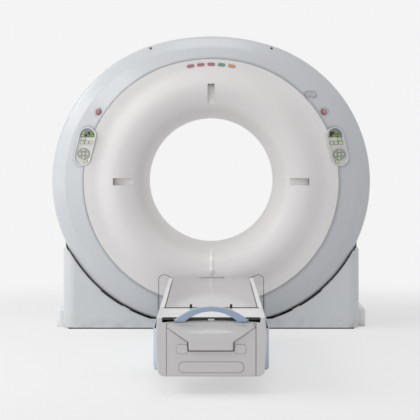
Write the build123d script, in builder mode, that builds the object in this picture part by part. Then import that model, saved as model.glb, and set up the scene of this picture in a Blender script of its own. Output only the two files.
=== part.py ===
from build123d import *

import os
from math import asin, cos, degrees, hypot, radians, sin, tan

os.makedirs("parts", exist_ok=True)

# A wide-bore CT scanner: a tilting ring gantry in a floor cradle, and a patient couch on a scissor lift.
# Millimetres, +Z up, the bore axis along Y, the couch towards -Y. The origin is on the floor below the
# point where the bore axis crosses the tilt axis.

# Gantry outlines seen from the couch: a is half the width, b is half the height
BORE_R = 450.0
RIM_A, RIM_B = 1124.0, 1025.0
SHOULDER_A, SHOULDER_B = 98.0, 79.0
CREASE_A, CREASE_B = RIM_A - SHOULDER_A, RIM_B - SHOULDER_B
BAND_A, BAND_B = 132.0, 86.0
FACE_A, FACE_B = CREASE_A - BAND_A, CREASE_B - BAND_B
BODY_STEP_A, BODY_STEP_B = 144.0, 90.0
BODY_A, BODY_B = RIM_A - BODY_STEP_A, RIM_B - BODY_STEP_B
REAR_TAPER_A, REAR_TAPER_B = 90.0, 100.0
REAR_A, REAR_B = BODY_A - REAR_TAPER_A, BODY_B - REAR_TAPER_B
OVAL_FLATNESS = 0.16

# The ring is cut flat below, and the bore axis lies where that flat clears the floor
RING_FLAT_CUT, RING_FLOOR_GAP = 65.0, 80.0
RING_FLAT_DEPTH = RIM_B - RING_FLAT_CUT
ISO_Z = RING_FLAT_DEPTH + RING_FLOOR_GAP

# Gantry stations along the bore axis
CREST_Y, FACE_Y, CREASE_Y = -440.0, -412.0, -367.0
RIM_Y, RIM_BACK_Y = -310.0, -285.0
BODY_END_Y, REAR_Y = 330.0, 470.0
RIM_ROUNDING, REAR_ROUNDING = 40.0, 35.0

# Cover wall and general clearances
WALL = 5.0
SEAM = 0.8
SEAT = 0.3
RUNNING = 0.5
SHAFT_GAP = 0.08
TILT_MAX = 25.0
ALL_ACROSS = 1600.0

# Funnel: valley beside the ring, raised crest, bore throat and scan window
VALLEY_STEP, CREST_STEP = 40.0, 148.0
VALLEY_R = FACE_B - VALLEY_STEP
CREST_R = VALLEY_R - CREST_STEP
THROAT_Y = -110.0
WINDOW_HALF = 30.0
REAR_MOUTH_R = BORE_R + 250

# Stands and cradle
UPRIGHT_GAP, UPRIGHT_THICK = 20.0, 42.7
UPRIGHT_IN_X = BODY_A + UPRIGHT_GAP
UPRIGHT_OUT_X = UPRIGHT_IN_X + UPRIGHT_THICK
STAND_OUT_X = UPRIGHT_OUT_X + SEAT + WALL
STAND_DISC_R, UPRIGHT_DISC_R = 265.0, 185.0
NECK_CLEARANCE, NECK_DEPTH, NECK_END_DEPTH = 9.0, 560.0, 585.0
CRADLE_FRONT_Y, CRADLE_BACK_Y = -330.0, 400.0
CRADLE_TOP_DEPTH, CRADLE_BOTTOM_Z = 438.0, 8.0
CRADLE_TOP_Z = ISO_Z - CRADLE_TOP_DEPTH
CRADLE_CORNER_R = 90.0
CRADLE_GAP, CRADLE_GAP_WIDE, CRADLE_REAR_GAP = 12.0, 26.0, 15.0
CRADLE_SCALLOP_R = 548.0
FRAME_BOTTOM_Z, FRAME_TOP_Z = 12.0, 110.0
TRUNNION_R, TRUNNION_HOUSING_R = 60.0, 80.0

# Rotor and its bearing
ROTOR_R, ROTOR_IN_R = BODY_B - 85, BORE_R + 28
ROTOR_FRONT_Y, ROTOR_BACK_Y = -60.0, -20.0
BEARING_R, BEARING_FRONT_Y, BEARING_BACK_Y = BORE_R + 150, 170.0, 235.0
TUBE_ORBIT_R, MODULE_ORBIT_R = ROTOR_R - 150, ROTOR_R - 170

# Couch
TABLE_TOP_Z, TABLE_THICK, TABLE_HALF = 407.0, 45.0, 255.0
TABLE_HEAD_Y, TABLE_FOOT_Y, COUCH_FOOT_Y = -830.0, -2690.0, -3187.0
LIFT_PIVOT_Y, LIFT_PIVOT_Z = -1080.0, 78.0
ARM_LENGTH, ARM_HIGH, ARM_THICK, ARM_RISE = 1100.0, 54.0, 16.0, 134.0
ARM_REST_DEG = degrees(asin(ARM_RISE / ARM_LENGTH))
RAIL_TOP_HALF, COUCH_HALF, END_BOTTOM_HALF = 283.0, 293.0, 279.0
RAIL_HEAD_Y = -860.0
PLINTH_HALF, PLINTH_TOP_Z = 337.0, 239.0
PLINTH_HEAD_Y, PLINTH_FOOT_Y = -800.0, LIFT_PIVOT_Y - ARM_LENGTH - 120
SKIRT_WALL, SKIRT_BOTTOM_Z, SKIRT_CORNER_R = 4.0, 6.0, 60.0
END_BOTTOM_Z = 98.0
UPPER_BOTTOM_Z = 246.0


def across(y):
    """The upright plane at a station of the bore axis, centred on that axis, facing the couch."""
    return Plane(origin=(0, y, ISO_Z), x_dir=(1, 0, 0), z_dir=(0, -1, 0))


def sideways(x, y=0.0, z=0.0):
    """The upright plane at a distance from the middle, facing +X: its own axes are Y and Z."""
    return Plane(origin=(x, y, z), x_dir=(0, 1, 0), z_dir=(1, 0, 0))


BORE_AXIS = Axis((0, 0, ISO_Z), (0, 1, 0))
MERIDIAN = Plane(origin=(0, 0, ISO_Z), x_dir=(1, 0, 0), z_dir=(0, 0, 1))


def oval(a, b):
    """A four-arc oval, a wide and b high on each side of its centre."""
    side_r = b - OVAL_FLATNESS * (a - b)
    c = a - side_r
    k = (c * c - (b - side_r) ** 2) / (2 * (b - side_r))
    reach = hypot(c, k)
    jx, jy = c + side_r * c / reach, side_r * k / reach
    with BuildSketch() as outline:
        with BuildLine():
            ThreePointArc((jx, -jy), (a, 0), (jx, jy))
            ThreePointArc((jx, jy), (0, b), (-jx, jy))
            ThreePointArc((-jx, jy), (-a, 0), (-jx, -jy))
            ThreePointArc((-jx, -jy), (0, -b), (jx, -jy))
        make_face()
    return outline.sketch


def polygon(*points):
    """A face with straight sides through its corners."""
    with BuildSketch() as outline:
        with BuildLine():
            Polyline(*points, close=True)
        make_face()
    return outline.sketch


def band(outer, inner):
    """The face between two outlines."""
    with BuildSketch() as outline:
        add(outer)
        add(inner, mode=Mode.SUBTRACT)
    return outline.sketch


def disc(radius):
    """A round face."""
    with BuildSketch() as outline:
        Circle(radius)
    return outline.sketch


def slab(outline, y0, y1):
    """An outline carried straight from one station of the bore axis to another."""
    with BuildPart() as body:
        with BuildSketch(across(y0)):
            add(outline)
        extrude(amount=y0 - y1)
    return body.part


def oval_loft(y0, a0, b0, y1, a1, b1):
    """An oval body whose outline changes evenly from one station to another."""
    with BuildPart() as body:
        with BuildSketch(across(y0)):
            add(oval(a0, b0))
        with BuildSketch(across(y1)):
            add(oval(a1, b1))
        loft(ruled=True)
    return body.part


def turned(*points):
    """A ring turned about the bore axis from (radius, station) corners."""
    with BuildPart() as body:
        with BuildSketch(MERIDIAN):
            add(polygon(*points))
        revolve(axis=BORE_AXIS)
    return body.part


def block(x0, x1, y0, y1, z0, z1):
    """A box between two corners."""
    with BuildPart() as body:
        with Locations(((x0 + x1) / 2, (y0 + y1) / 2, (z0 + z1) / 2)):
            Box(x1 - x0, y1 - y0, z1 - z0)
    return body.part


def crossbar(x0, x1, y, z, radius):
    """A round bar along X."""
    with BuildPart() as body:
        with BuildSketch(sideways(x0, y, z)):
            Circle(radius)
        extrude(amount=x1 - x0)
    return body.part


def save(piece, name):
    """Label a finished piece and write it."""
    piece.part.label = name
    export_step(piece.part, f"parts/{name}.step")


def both(part):
    """A piece and its mirror image across the middle plane."""
    return [part, part.mirror(Plane.YZ)]


SIDES = (("left", -1), ("right", 1))

# Front ring cover: a conical band, a shoulder and a short rim, cut flat above the floor
def dish(inset, rounding):
    """The ring cover's outer form, or its hollow when inset by a wall."""
    with BuildPart() as body:
        add(oval_loft(FACE_Y + inset, FACE_A, FACE_B, CREASE_Y + inset, CREASE_A - inset, CREASE_B - inset))
        add(
            oval_loft(
                CREASE_Y + inset, CREASE_A - inset, CREASE_B - inset, RIM_Y + inset, RIM_A - inset, RIM_B - inset
            )
        )
        add(slab(oval(RIM_A - inset, RIM_B - inset), RIM_Y + inset, RIM_BACK_Y + inset))
        rim = body.edges().filter_by_position(Axis.Y, RIM_Y + inset - 0.1, RIM_Y + inset + 0.1)
        fillet(rim, rounding)
        low = ISO_Z - RING_FLAT_DEPTH + inset
        add(block(-1500, 1500, -700, 0, low - 400, low), mode=Mode.SUBTRACT)
    return body.part


# Low access panel in the gantry front, behind the couch
SERVICE_HALF, SERVICE_CORNER_Z = 367.0, -668.0
SERVICE_SHOULDER, SERVICE_DIP = (330.0, -645.0), (268.0, -673.0)
SERVICE_ROUNDING = 14.0


def service_outline(inset):
    """The access panel's outline, about the bore axis."""
    (sx, sz), (dx, dz) = SERVICE_SHOULDER, SERVICE_DIP
    low = -RIM_B - 200
    right = [(SERVICE_HALF - inset, low), (SERVICE_HALF - inset, SERVICE_CORNER_Z - inset)]
    right += [(sx, sz - inset), (dx, dz - inset)]
    with BuildSketch() as outline:
        add(polygon(*right, *[(-x, z) for x, z in reversed(right)]))
        fillet([v for v in outline.vertices() if v.Y > low + 1], SERVICE_ROUNDING)
    return outline.sketch


# Control panels: pill-shaped modules across the seam of ring and funnel
PANEL_X, PANEL_Z, PANEL_Y = FACE_A - 10, 246.0, FACE_Y + 1
PANEL_LONG, PANEL_WIDE, PANEL_DEEP = 278.0, 123.0, 46.0
PANEL_BEZEL, PANEL_RECESS, PANEL_PROUD = 8.0, 6.0, 5.0
PANEL_LEAN_OUT, PANEL_LEAN_UP = 12.0, 14.2


def panel_plane(sign, depth=0.0, level=False):
    """The face of one control panel: its Y axis runs up the panel, or straight up where it is level."""
    lean, turn = radians(PANEL_LEAN_OUT), 0.0 if level else sign * radians(PANEL_LEAN_UP)
    normal = Vector(sign * sin(lean), -cos(lean), 0)
    right = Vector(cos(lean), sign * sin(lean), 0) * cos(turn) + Vector(0, 0, 1) * sin(turn)
    centre = Vector(sign * PANEL_X, PANEL_Y, ISO_Z + PANEL_Z) - normal * depth
    return Plane(origin=centre, x_dir=right, z_dir=normal)


def panel_plug(sign, margin, front, back):
    """A pill-shaped block about one control panel, between two depths behind its face."""
    with BuildPart() as body:
        with BuildSketch(panel_plane(sign, back)):
            SlotOverall(PANEL_LONG + 2 * margin, PANEL_WIDE + 2 * margin, rotation=90)
        extrude(amount=back - front)
    return body.part


# Emergency buttons, call panel and lifting holes on the ring's band
ESTOP_X, ESTOP_Z, ESTOP_FACE_Y = FACE_A - 102, 491.0, FACE_Y + 8
ESTOP_R, ESTOP_HEAD_DEEP, ESTOP_STEM_R, ESTOP_TRAVEL = 16.0, 6.0, 8.0, 5.0
COLLAR_R, COLLAR_FRONT_Y, COLLAR_DEEP = 24.0, ESTOP_FACE_Y + 12.5, 20.0
CALL_X, CALL_Z, CALL_FACE_Y = FACE_A - 200, 610.0, FACE_Y + 11
CALL_LONG, CALL_WIDE = 80.0, 35.0
LIFT_HOLE_X, LIFT_HOLE_Z, LIFT_HOLE_R = 426.0, 938.0, 7.0

with BuildPart() as ring_blank:
    add(dish(0, RIM_ROUNDING))
    add(dish(WALL, RIM_ROUNDING - WALL), mode=Mode.SUBTRACT)
    add(slab(oval(FACE_A + WALL, FACE_B + WALL), FACE_Y + 1, FACE_Y + 24))
    add(slab(oval(FACE_A, FACE_B), FACE_Y - 5, RIM_BACK_Y + 5), mode=Mode.SUBTRACT)
    for side, sign in SIDES:
        add(panel_plug(sign, SEAM, -60, 90), mode=Mode.SUBTRACT)
    estops = ((-ESTOP_X, ESTOP_Z), (ESTOP_X, ESTOP_Z))
    with BuildSketch(across(COLLAR_FRONT_Y + COLLAR_DEEP)):
        with Locations(*estops):
            Circle(COLLAR_R)
    extrude(amount=COLLAR_DEEP)
    with BuildSketch(across(COLLAR_FRONT_Y)):
        with Locations(*estops):
            Circle(COLLAR_R)
    extrude(amount=200, mode=Mode.SUBTRACT)
    with BuildSketch(across(RIM_BACK_Y)):
        with Locations(*estops):
            Circle(ESTOP_STEM_R + SEAT)
        with Locations((-LIFT_HOLE_X, LIFT_HOLE_Z), (LIFT_HOLE_X, LIFT_HOLE_Z)):
            Circle(LIFT_HOLE_R)
        with Locations((CALL_X, CALL_Z)):
            SlotOverall(CALL_LONG + 2 * SEAT, CALL_WIDE + 2 * SEAT)
    extrude(amount=200, mode=Mode.SUBTRACT)

with BuildPart() as front_ring_cover:
    add(ring_blank.part)
    add(slab(service_outline(0), RIM_BACK_Y + 20, CREST_Y - 20), mode=Mode.SUBTRACT)
save(front_ring_cover, "front_ring_cover")

with BuildPart() as service_panel_ring:
    add(ring_blank.part)
    add(slab(service_outline(SEAM), RIM_BACK_Y + 20, CREST_Y - 20), mode=Mode.INTERSECT)
save(service_panel_ring, "service_panel_ring")

# Front funnel: one moulded sheet from the valley beside the ring, over the crest, into the bore
MOUTH_SHARES = ((0.667, 15), (0.387, 52), (0.171, 122), (0.045, 225))
FUNNEL_MERIDIAN = [(VALLEY_R, FACE_Y), (VALLEY_R - 68, FACE_Y - 13), (CREST_R, CREST_Y)]
FUNNEL_MERIDIAN += [(BORE_R + share * (CREST_R - BORE_R), CREST_Y + deep) for share, deep in MOUTH_SHARES]
FUNNEL_MERIDIAN += [(BORE_R, THROAT_Y)]
FUNNEL_TANGENTS = ((-1, 0), (0, 1))
FUNNEL_END_Y = -WINDOW_HALF - SEAT
CURVE_STEPS = 16
FLANGE_DEEP = 23.0


def beside(points, tangents, amount):
    """A smooth curve through meridian points, and a second one at a distance behind it."""
    ends = [Vector(*tangent) for tangent in tangents]
    curve = Edge.make_spline([Vector(*point) for point in points], tangents=ends)
    spots = [(curve.position_at(n / CURVE_STEPS), curve.tangent_at(n / CURVE_STEPS)) for n in range(CURVE_STEPS + 1)]
    shifted = [Vector(p.X + amount * d.Y, p.Y - amount * d.X) for p, d in spots]
    return curve, Edge.make_spline(shifted, tangents=ends)


def funnel_solid(back):
    """Everything behind the funnel's front surface, as far as a station."""
    front, _ = beside(FUNNEL_MERIDIAN, FUNNEL_TANGENTS, WALL)
    with BuildPart() as body:
        with BuildSketch(MERIDIAN):
            with BuildLine():
                add(front)
                Polyline((BORE_R, THROAT_Y), (BORE_R, back), (VALLEY_R, back), (VALLEY_R, FACE_Y))
            make_face()
        revolve(axis=BORE_AXIS)
    return body.part


def funnel_sheet(thickness):
    """A sheet on the funnel's front surface: behind it, or in front of it if the thickness is negative."""
    front, rear = beside(FUNNEL_MERIDIAN, FUNNEL_TANGENTS, thickness)
    with BuildPart() as body:
        with BuildSketch(MERIDIAN):
            with BuildLine():
                add(front)
                far = BORE_R + thickness
                Polyline((BORE_R, THROAT_Y), (BORE_R, FUNNEL_END_Y), (far, FUNNEL_END_Y), (far, THROAT_Y))
                add(rear)
                Line((VALLEY_R, FACE_Y + thickness), (VALLEY_R, FACE_Y))
            make_face()
        revolve(axis=BORE_AXIS)
    return body.part


# Positioning lasers: three channels in the funnel that run out towards the bore
LASER_ORBIT_R, LASER_LONG, LASER_WIDE = CREST_R - 62, 150.0, 48.0
LASER_FLOOR_Y = -398.0
LASER_WINDOW_DEEP, LASER_WINDOW_TALL, LASER_WINDOW_WIDE = 4.0, 26.0, 38.0


def laser_bars(low_r, high_r, wide, y0, y1):
    """A bar for each laser, along the funnel's radius, between two stations."""
    with BuildPart(across(y1)) as body:
        with PolarLocations((low_r + high_r) / 2, 3, start_angle=0, angular_range=180, endpoint=True):
            Box(high_r - low_r, wide, y1 - y0, align=(Align.CENTER, Align.CENTER, Align.MIN))
    return body.part


# Indicator lamps above the bore, on an arc
LAMP_ORBIT_R, LAMP_LONG, LAMP_WIDE, LAMP_PITCH_DEG = VALLEY_R + 2, 52.0, 22.0, 5.06
LAMP_PROUD, LAMP_DEEP = 3.0, 9.0
LAMP_COUNT = 5


def lamp_bars(places, margin, y0, y1):
    """Pill-shaped bars at places on the lamp arc, counted from the left, between two stations."""
    with BuildPart() as body:
        with BuildSketch(across(y1)):
            for n in places:
                with PolarLocations(LAMP_ORBIT_R, 1, start_angle=90 + (2 - n) * LAMP_PITCH_DEG):
                    SlotOverall(LAMP_LONG + 2 * margin, LAMP_WIDE + 2 * margin, rotation=90)
        extrude(amount=y1 - y0)
    return body.part


edge, lip = oval(FACE_A - SEAM, FACE_B - SEAM), oval(FACE_A - SEAM - WALL, FACE_B - SEAM - WALL)
laser_low, laser_high = LASER_ORBIT_R - LASER_LONG / 2, LASER_ORBIT_R + LASER_LONG / 2
with BuildPart() as laser_trays:
    add(laser_bars(laser_low - WALL, laser_high + WALL, LASER_WIDE + 2 * WALL, CREST_Y - 5, LASER_FLOOR_Y + WALL))
    add(funnel_solid(0), mode=Mode.INTERSECT)
with BuildPart() as funnel_blank:
    add(funnel_sheet(WALL))
    add(slab(band(edge, disc(VALLEY_R)), FACE_Y + WALL, FACE_Y))
    add(slab(band(edge, lip), FACE_Y + FLANGE_DEEP, FACE_Y + 1))
    add(laser_trays.part)
    add(laser_bars(laser_low - 2 * WALL, laser_high, LASER_WIDE, CREST_Y - 20, LASER_FLOOR_Y), mode=Mode.SUBTRACT)
    add(lamp_bars(range(LAMP_COUNT), SEAT, CREST_Y, FACE_Y + 30), mode=Mode.SUBTRACT)
    for side, sign in SIDES:
        add(panel_plug(sign, SEAM, -60, 90), mode=Mode.SUBTRACT)

with BuildPart() as front_funnel:
    add(funnel_blank.part)
    add(slab(service_outline(0), 0, CREST_Y - 20), mode=Mode.SUBTRACT)
save(front_funnel, "front_funnel")

with BuildPart() as service_panel_funnel:
    add(funnel_blank.part)
    add(slab(service_outline(SEAM), 0, CREST_Y - 20), mode=Mode.INTERSECT)
save(service_panel_funnel, "service_panel_funnel")

with BuildPart() as laser_windows:
    add(
        laser_bars(
            laser_high - SEAT - LASER_WINDOW_DEEP,
            laser_high - SEAT,
            LASER_WINDOW_WIDE,
            LASER_FLOOR_Y - SEAT - LASER_WINDOW_TALL,
            LASER_FLOOR_Y - SEAT,
        )
    )
save(laser_windows, "laser_windows")

with BuildPart() as status_lamps:
    add(lamp_bars(range(LAMP_COUNT), 0, FACE_Y - LAMP_PROUD, FACE_Y + LAMP_DEEP))
    fillet(status_lamps.edges().filter_by_position(Axis.Y, FACE_Y - LAMP_PROUD - 0.1, FACE_Y - LAMP_PROUD + 0.1), 2)
save(status_lamps, "status_lamps")

# Bead up the middle of the lower funnel, with a round cap at its outer end
BEAD_WIDE, BEAD_PROUD = 21.0, 4.0
BEAD_CAP_R, BEAD_CAP_AT = 14.0, CREST_R - 43
with BuildPart() as funnel_bead:
    add(funnel_sheet(-BEAD_PROUD))
    half = BEAD_WIDE / 2
    add(block(-half, half, CREST_Y - 10, -340, ISO_Z - BEAD_CAP_AT + 2, ISO_Z - BORE_R), mode=Mode.INTERSECT)
    with BuildSketch(across(CREST_Y + 15)):
        with Locations((0, -BEAD_CAP_AT)):
            Circle(BEAD_CAP_R)
    extrude(amount=24)
    add(funnel_solid(0), mode=Mode.SUBTRACT)
save(funnel_bead, "funnel_bead")

# Scan window: the thin ring that the beam passes through
with BuildPart() as scan_window:
    add(turned((BORE_R, -WINDOW_HALF), (BORE_R + 3, -WINDOW_HALF), (BORE_R + 3, WINDOW_HALF), (BORE_R, WINDOW_HALF)))
save(scan_window, "scan_window")

# Rear funnel and rear cover
REAR_FLARE = ((0, 120.0), (18, 250.0), (75, 360.0), (160, 435.0))
REAR_MERIDIAN = [(BORE_R + flare, y) for flare, y in REAR_FLARE] + [(REAR_MOUTH_R, REAR_Y)]
with BuildPart() as rear_funnel:
    front, rear = beside(REAR_MERIDIAN, ((0, 1), (1, 0.25)), WALL)
    begin = WINDOW_HALF + SEAT
    with BuildSketch(MERIDIAN):
        with BuildLine():
            add(front)
            add(rear)
            Line(front @ 1, rear @ 1)
            Polyline(rear @ 0, (BORE_R + WALL, begin), (BORE_R, begin), front @ 0)
        make_face()
    revolve(axis=BORE_AXIS)
save(rear_funnel, "rear_funnel")

with BuildPart() as rear_cover:
    add(oval_loft(BODY_END_Y, BODY_A, BODY_B, REAR_Y, REAR_A, REAR_B))
    fillet(rear_cover.edges().filter_by_position(Axis.Y, REAR_Y - 0.1, REAR_Y + 0.1), REAR_ROUNDING)
    add(
        oval_loft(BODY_END_Y - 1, BODY_A - WALL, BODY_B - WALL, REAR_Y - WALL, REAR_A - WALL, REAR_B - WALL),
        mode=Mode.SUBTRACT,
    )
    add(slab(disc(REAR_MOUTH_R + 6), REAR_Y - 60, REAR_Y + 10), mode=Mode.SUBTRACT)
save(rear_cover, "rear_cover")

# Body shell: the barrel between the front and rear covers, with the flange that carries the ring cover
BODY_HOLE_R, BODY_FLANGE_Y = 66.0, RIM_BACK_Y - 4
with BuildPart() as body_shell:
    outer, inner = oval(BODY_A, BODY_B), oval(BODY_A - WALL, BODY_B - WALL)
    add(slab(band(outer, inner), BODY_FLANGE_Y, BODY_END_Y - SEAT))
    flange_edge = oval(RIM_A - WALL - SEAT, RIM_B - WALL - SEAT)
    add(slab(band(flange_edge, inner), BODY_FLANGE_Y, RIM_BACK_Y))
    flat = ISO_Z - RING_FLAT_DEPTH + WALL + SEAT
    add(block(-1500, 1500, -700, 700, flat - 400, flat), mode=Mode.SUBTRACT)
    add(crossbar(-ALL_ACROSS, ALL_ACROSS, 0, ISO_Z, BODY_HOLE_R), mode=Mode.SUBTRACT)
save(body_shell, "body_shell")

# Tilt frame: the steel ring with its side arms and trunnions
FRAME_RING_FRONT_Y, FRAME_RING_BACK_Y, FRAME_RING_R = 180.0, 225.0, BODY_B - 35
ARM_OUT_X, ARM_HALF_HIGH, ARM_FRONT_Y = BODY_A - 48, 190.0, -110.0
ARM_IN_X = ARM_OUT_X - 52
BOSS_R, BOSS_END_X = 105.0, BODY_A - 20
RACE_OUT_R = BEARING_R + 40
SHELL_TAB_HALF, SHELL_TAB_SAG = 60.0, 1.9
SHELL_TAB_END = BODY_B - WALL - SHELL_TAB_SAG
with BuildPart() as tilt_frame:
    add(slab(band(disc(FRAME_RING_R), disc(RACE_OUT_R)), FRAME_RING_FRONT_Y, FRAME_RING_BACK_Y))
    for x0, x1 in ((ARM_IN_X, ARM_OUT_X), (-ARM_OUT_X, -ARM_IN_X)):
        add(block(x0, x1, ARM_FRONT_Y, FRAME_RING_BACK_Y, ISO_Z - ARM_HALF_HIGH, ISO_Z + ARM_HALF_HIGH))
    for low, high in ((ISO_Z + FRAME_RING_R - 12, ISO_Z + SHELL_TAB_END), (ISO_Z - SHELL_TAB_END, ISO_Z - FRAME_RING_R + 12)):
        add(block(-SHELL_TAB_HALF, SHELL_TAB_HALF, FRAME_RING_FRONT_Y, FRAME_RING_BACK_Y, low, high))
    for arm in both(crossbar(ARM_IN_X, BOSS_END_X, 0, ISO_Z, BOSS_R)):
        add(arm)
    for arm in both(crossbar(ARM_IN_X, UPRIGHT_OUT_X - 2, 0, ISO_Z, TRUNNION_R)):
        add(arm)
save(tilt_frame, "tilt_frame")

# Main bearing: the outer race sits in the tilt frame, the rotor's hub turns in it
with BuildPart() as bearing_race:
    add(
        turned(
            (BEARING_R, BEARING_FRONT_Y),
            (RACE_OUT_R - SEAT, BEARING_FRONT_Y),
            (RACE_OUT_R - SEAT, BEARING_BACK_Y),
            (BEARING_R, BEARING_BACK_Y),
        )
    )
save(bearing_race, "bearing_race")

HUB_WALL = 40.0
RIM_WALL, RIM_END_Y = 14.0, 60.0
LIGHTENING_R, LIGHTENING_ORBIT_R = 42.0, ROTOR_R - 150
with BuildPart() as rotor_drum:
    add(
        turned(
            (ROTOR_IN_R, ROTOR_FRONT_Y),
            (ROTOR_R, ROTOR_FRONT_Y),
            (ROTOR_R, RIM_END_Y),
            (ROTOR_R - RIM_WALL, RIM_END_Y),
            (ROTOR_R - RIM_WALL, ROTOR_BACK_Y),
            (BEARING_R - SHAFT_GAP, ROTOR_BACK_Y),
            (BEARING_R - SHAFT_GAP, BEARING_BACK_Y),
            (BEARING_R - SHAFT_GAP - HUB_WALL, BEARING_BACK_Y),
            (BEARING_R - SHAFT_GAP - HUB_WALL, ROTOR_BACK_Y),
            (ROTOR_IN_R, ROTOR_BACK_Y),
        )
    )
    with BuildSketch(across(ROTOR_BACK_Y + 5)):
        with PolarLocations(LIGHTENING_ORBIT_R, 12, start_angle=15):
            Circle(LIGHTENING_R)
    extrude(amount=60, mode=Mode.SUBTRACT)
save(rotor_drum, "rotor_drum")

# Slip ring on the back of the rotor, with its brush block on the tilt frame
SLIP_IN_R, SLIP_OUT_R, SLIP_THICK, SLIP_GROOVE = ROTOR_R - 182, ROTOR_R - 90, 22.0, 6.0
slip_front = ROTOR_BACK_Y + SEAT
slip_back = slip_front + SLIP_THICK
with BuildPart() as slip_ring:
    add(turned((SLIP_IN_R, slip_front), (SLIP_OUT_R, slip_front), (SLIP_OUT_R, slip_back), (SLIP_IN_R, slip_back)))
    for n in range(4):
        middle = SLIP_IN_R + (n + 0.5) * (SLIP_OUT_R - SLIP_IN_R) / 4
        add(slab(band(disc(middle + 6), disc(middle - 6)), slip_back - SLIP_GROOVE, slip_back + 1), mode=Mode.SUBTRACT)
save(slip_ring, "slip_ring")
with BuildPart() as brush_block:
    low, high = ISO_Z - SLIP_OUT_R, ISO_Z - SLIP_IN_R
    add(block(-70, 70, slip_back + RUNNING, FRAME_RING_FRONT_Y - SEAT, low, high))
    fillet(brush_block.edges().filter_by(Axis.Y), 10)
save(brush_block, "brush_block")

# X-ray tube with its collimator, detector and the other modules that turn with the rotor
TUBE_R, TUBE_FRONT_Y = 108.0, -250.0
rotor_seat = ROTOR_FRONT_Y - SEAT
with BuildPart() as xray_tube:
    with BuildSketch(across(rotor_seat)):
        with Locations((0, TUBE_ORBIT_R)):
            Circle(TUBE_R)
    extrude(amount=rotor_seat - TUBE_FRONT_Y)
    front = xray_tube.faces().sort_by(Axis.Y)[0]
    fillet(front.edges(), 22)
    with BuildSketch(across(TUBE_FRONT_Y)):
        with Locations((-45, TUBE_ORBIT_R + 20), (45, TUBE_ORBIT_R + 20)):
            Circle(26)
    extrude(amount=34)
    top = ISO_Z + TUBE_ORBIT_R - TUBE_R + 12
    add(block(-85, 85, -210, rotor_seat, top - 74, top))
    add(block(-60, 60, -150, -120, top - 80, top - 30), mode=Mode.SUBTRACT)
save(xray_tube, "xray_tube")

DETECTOR_FOCUS, DETECTOR_THICK, DETECTOR_HALF_DEG = TUBE_ORBIT_R - 100, 94.0, 27.0
DETECTOR_IN_R = DETECTOR_FOCUS + ROTOR_IN_R
DETECTOR_OUT_R = DETECTOR_IN_R + DETECTOR_THICK
with BuildPart() as detector:
    with BuildSketch(across(rotor_seat)):
        with Locations((0, DETECTOR_FOCUS)):
            Circle(DETECTOR_OUT_R)
            Circle(DETECTOR_IN_R, mode=Mode.SUBTRACT)
        reach = 1400
        spread = reach * tan(radians(DETECTOR_HALF_DEG))
        wedge = polygon((0, DETECTOR_FOCUS), (-spread, DETECTOR_FOCUS - reach), (spread, DETECTOR_FOCUS - reach))
        add(wedge, mode=Mode.INTERSECT)
    extrude(amount=150)
save(detector, "detector")


def rotor_module(angle, radial, tangential, deep):
    """A boxed module bolted to the rotor's front at an angle about the bore."""
    with BuildPart(across(rotor_seat)) as module:
        with PolarLocations(MODULE_ORBIT_R, 1, start_angle=angle):
            Box(radial, tangential, deep, align=(Align.CENTER, Align.CENTER, Align.MIN))
        fillet(module.edges().filter_by(Axis.Y), 12)
    return module.part


with BuildPart() as voltage_generator:
    add(rotor_module(180, 230, 380, 170))
save(voltage_generator, "voltage_generator")
with BuildPart() as heat_exchanger:
    add(rotor_module(0, 220, 400, 150))
    add(rotor_module(45, 190, 220, 140))
save(heat_exchanger, "heat_exchanger")
with BuildPart() as rotor_control_unit:
    add(rotor_module(135, 200, 260, 130))
save(rotor_control_unit, "rotor_control_unit")

# Gantry base: a steel frame on the floor, uprights with the tilt bearings, and the cradle's covers
FOOT_BLOCK_OUT_X = UPRIGHT_OUT_X
FOOT_BLOCK_IN_X = FOOT_BLOCK_OUT_X - 342.7
FOOT_BLOCK_FRONT_Y, FOOT_BLOCK_BACK_Y = CRADLE_FRONT_Y + WALL + SEAT, CRADLE_BACK_Y - WALL - SEAT
FRONT_BEAM_Z, FRONT_BEAM_Y, FRONT_BEAM_DEEP = 40.0, -321.4, 46.4
REAR_BEAM_Z, REAR_BEAM_DEEP = 80.0, 45.0
PLATE_HALF, PLATE_FOOT_Y = PLINTH_HALF - 7, PLINTH_FOOT_Y + 10
FRAME_WALL = 16.0
ANCHOR_R, ANCHOR_X = 9.0, FOOT_BLOCK_IN_X + 40
ANCHOR_FRONT_Y, ANCHOR_BACK_Y = CRADLE_FRONT_Y + 40, CRADLE_BACK_Y - 42


def neck_half(depth, clearance=NECK_CLEARANCE):
    """Half the room that the tilted ring cover leaves a stand, at a depth below the tilt axis."""
    return (-RIM_BACK_Y - clearance) / cos(radians(TILT_MAX)) - depth * tan(radians(TILT_MAX))


UPRIGHT_FOOT_HALF, UPRIGHT_KNEE_DEPTH = 238.0, 740.0
GUSSET_THICK, GUSSET_IN_X, GUSSET_TOP_Z, GUSSET_Y = 18.0, UPRIGHT_IN_X - 110, 300.0, 150.0


def cradle_wrap(inset):
    """The cradle's block form as seen from above, with rounded front and rear corners."""
    half, front, back = STAND_OUT_X - inset, CRADLE_FRONT_Y + inset, CRADLE_BACK_Y - inset
    with BuildPart() as body:
        with BuildSketch(Plane.XY.offset(CRADLE_BOTTOM_Z)):
            with Locations((0, (front + back) / 2)):
                RectangleRounded(2 * half, back - front, CRADLE_CORNER_R - inset)
        extrude(amount=CRADLE_TOP_Z - CRADLE_BOTTOM_Z)
    return body.part


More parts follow.
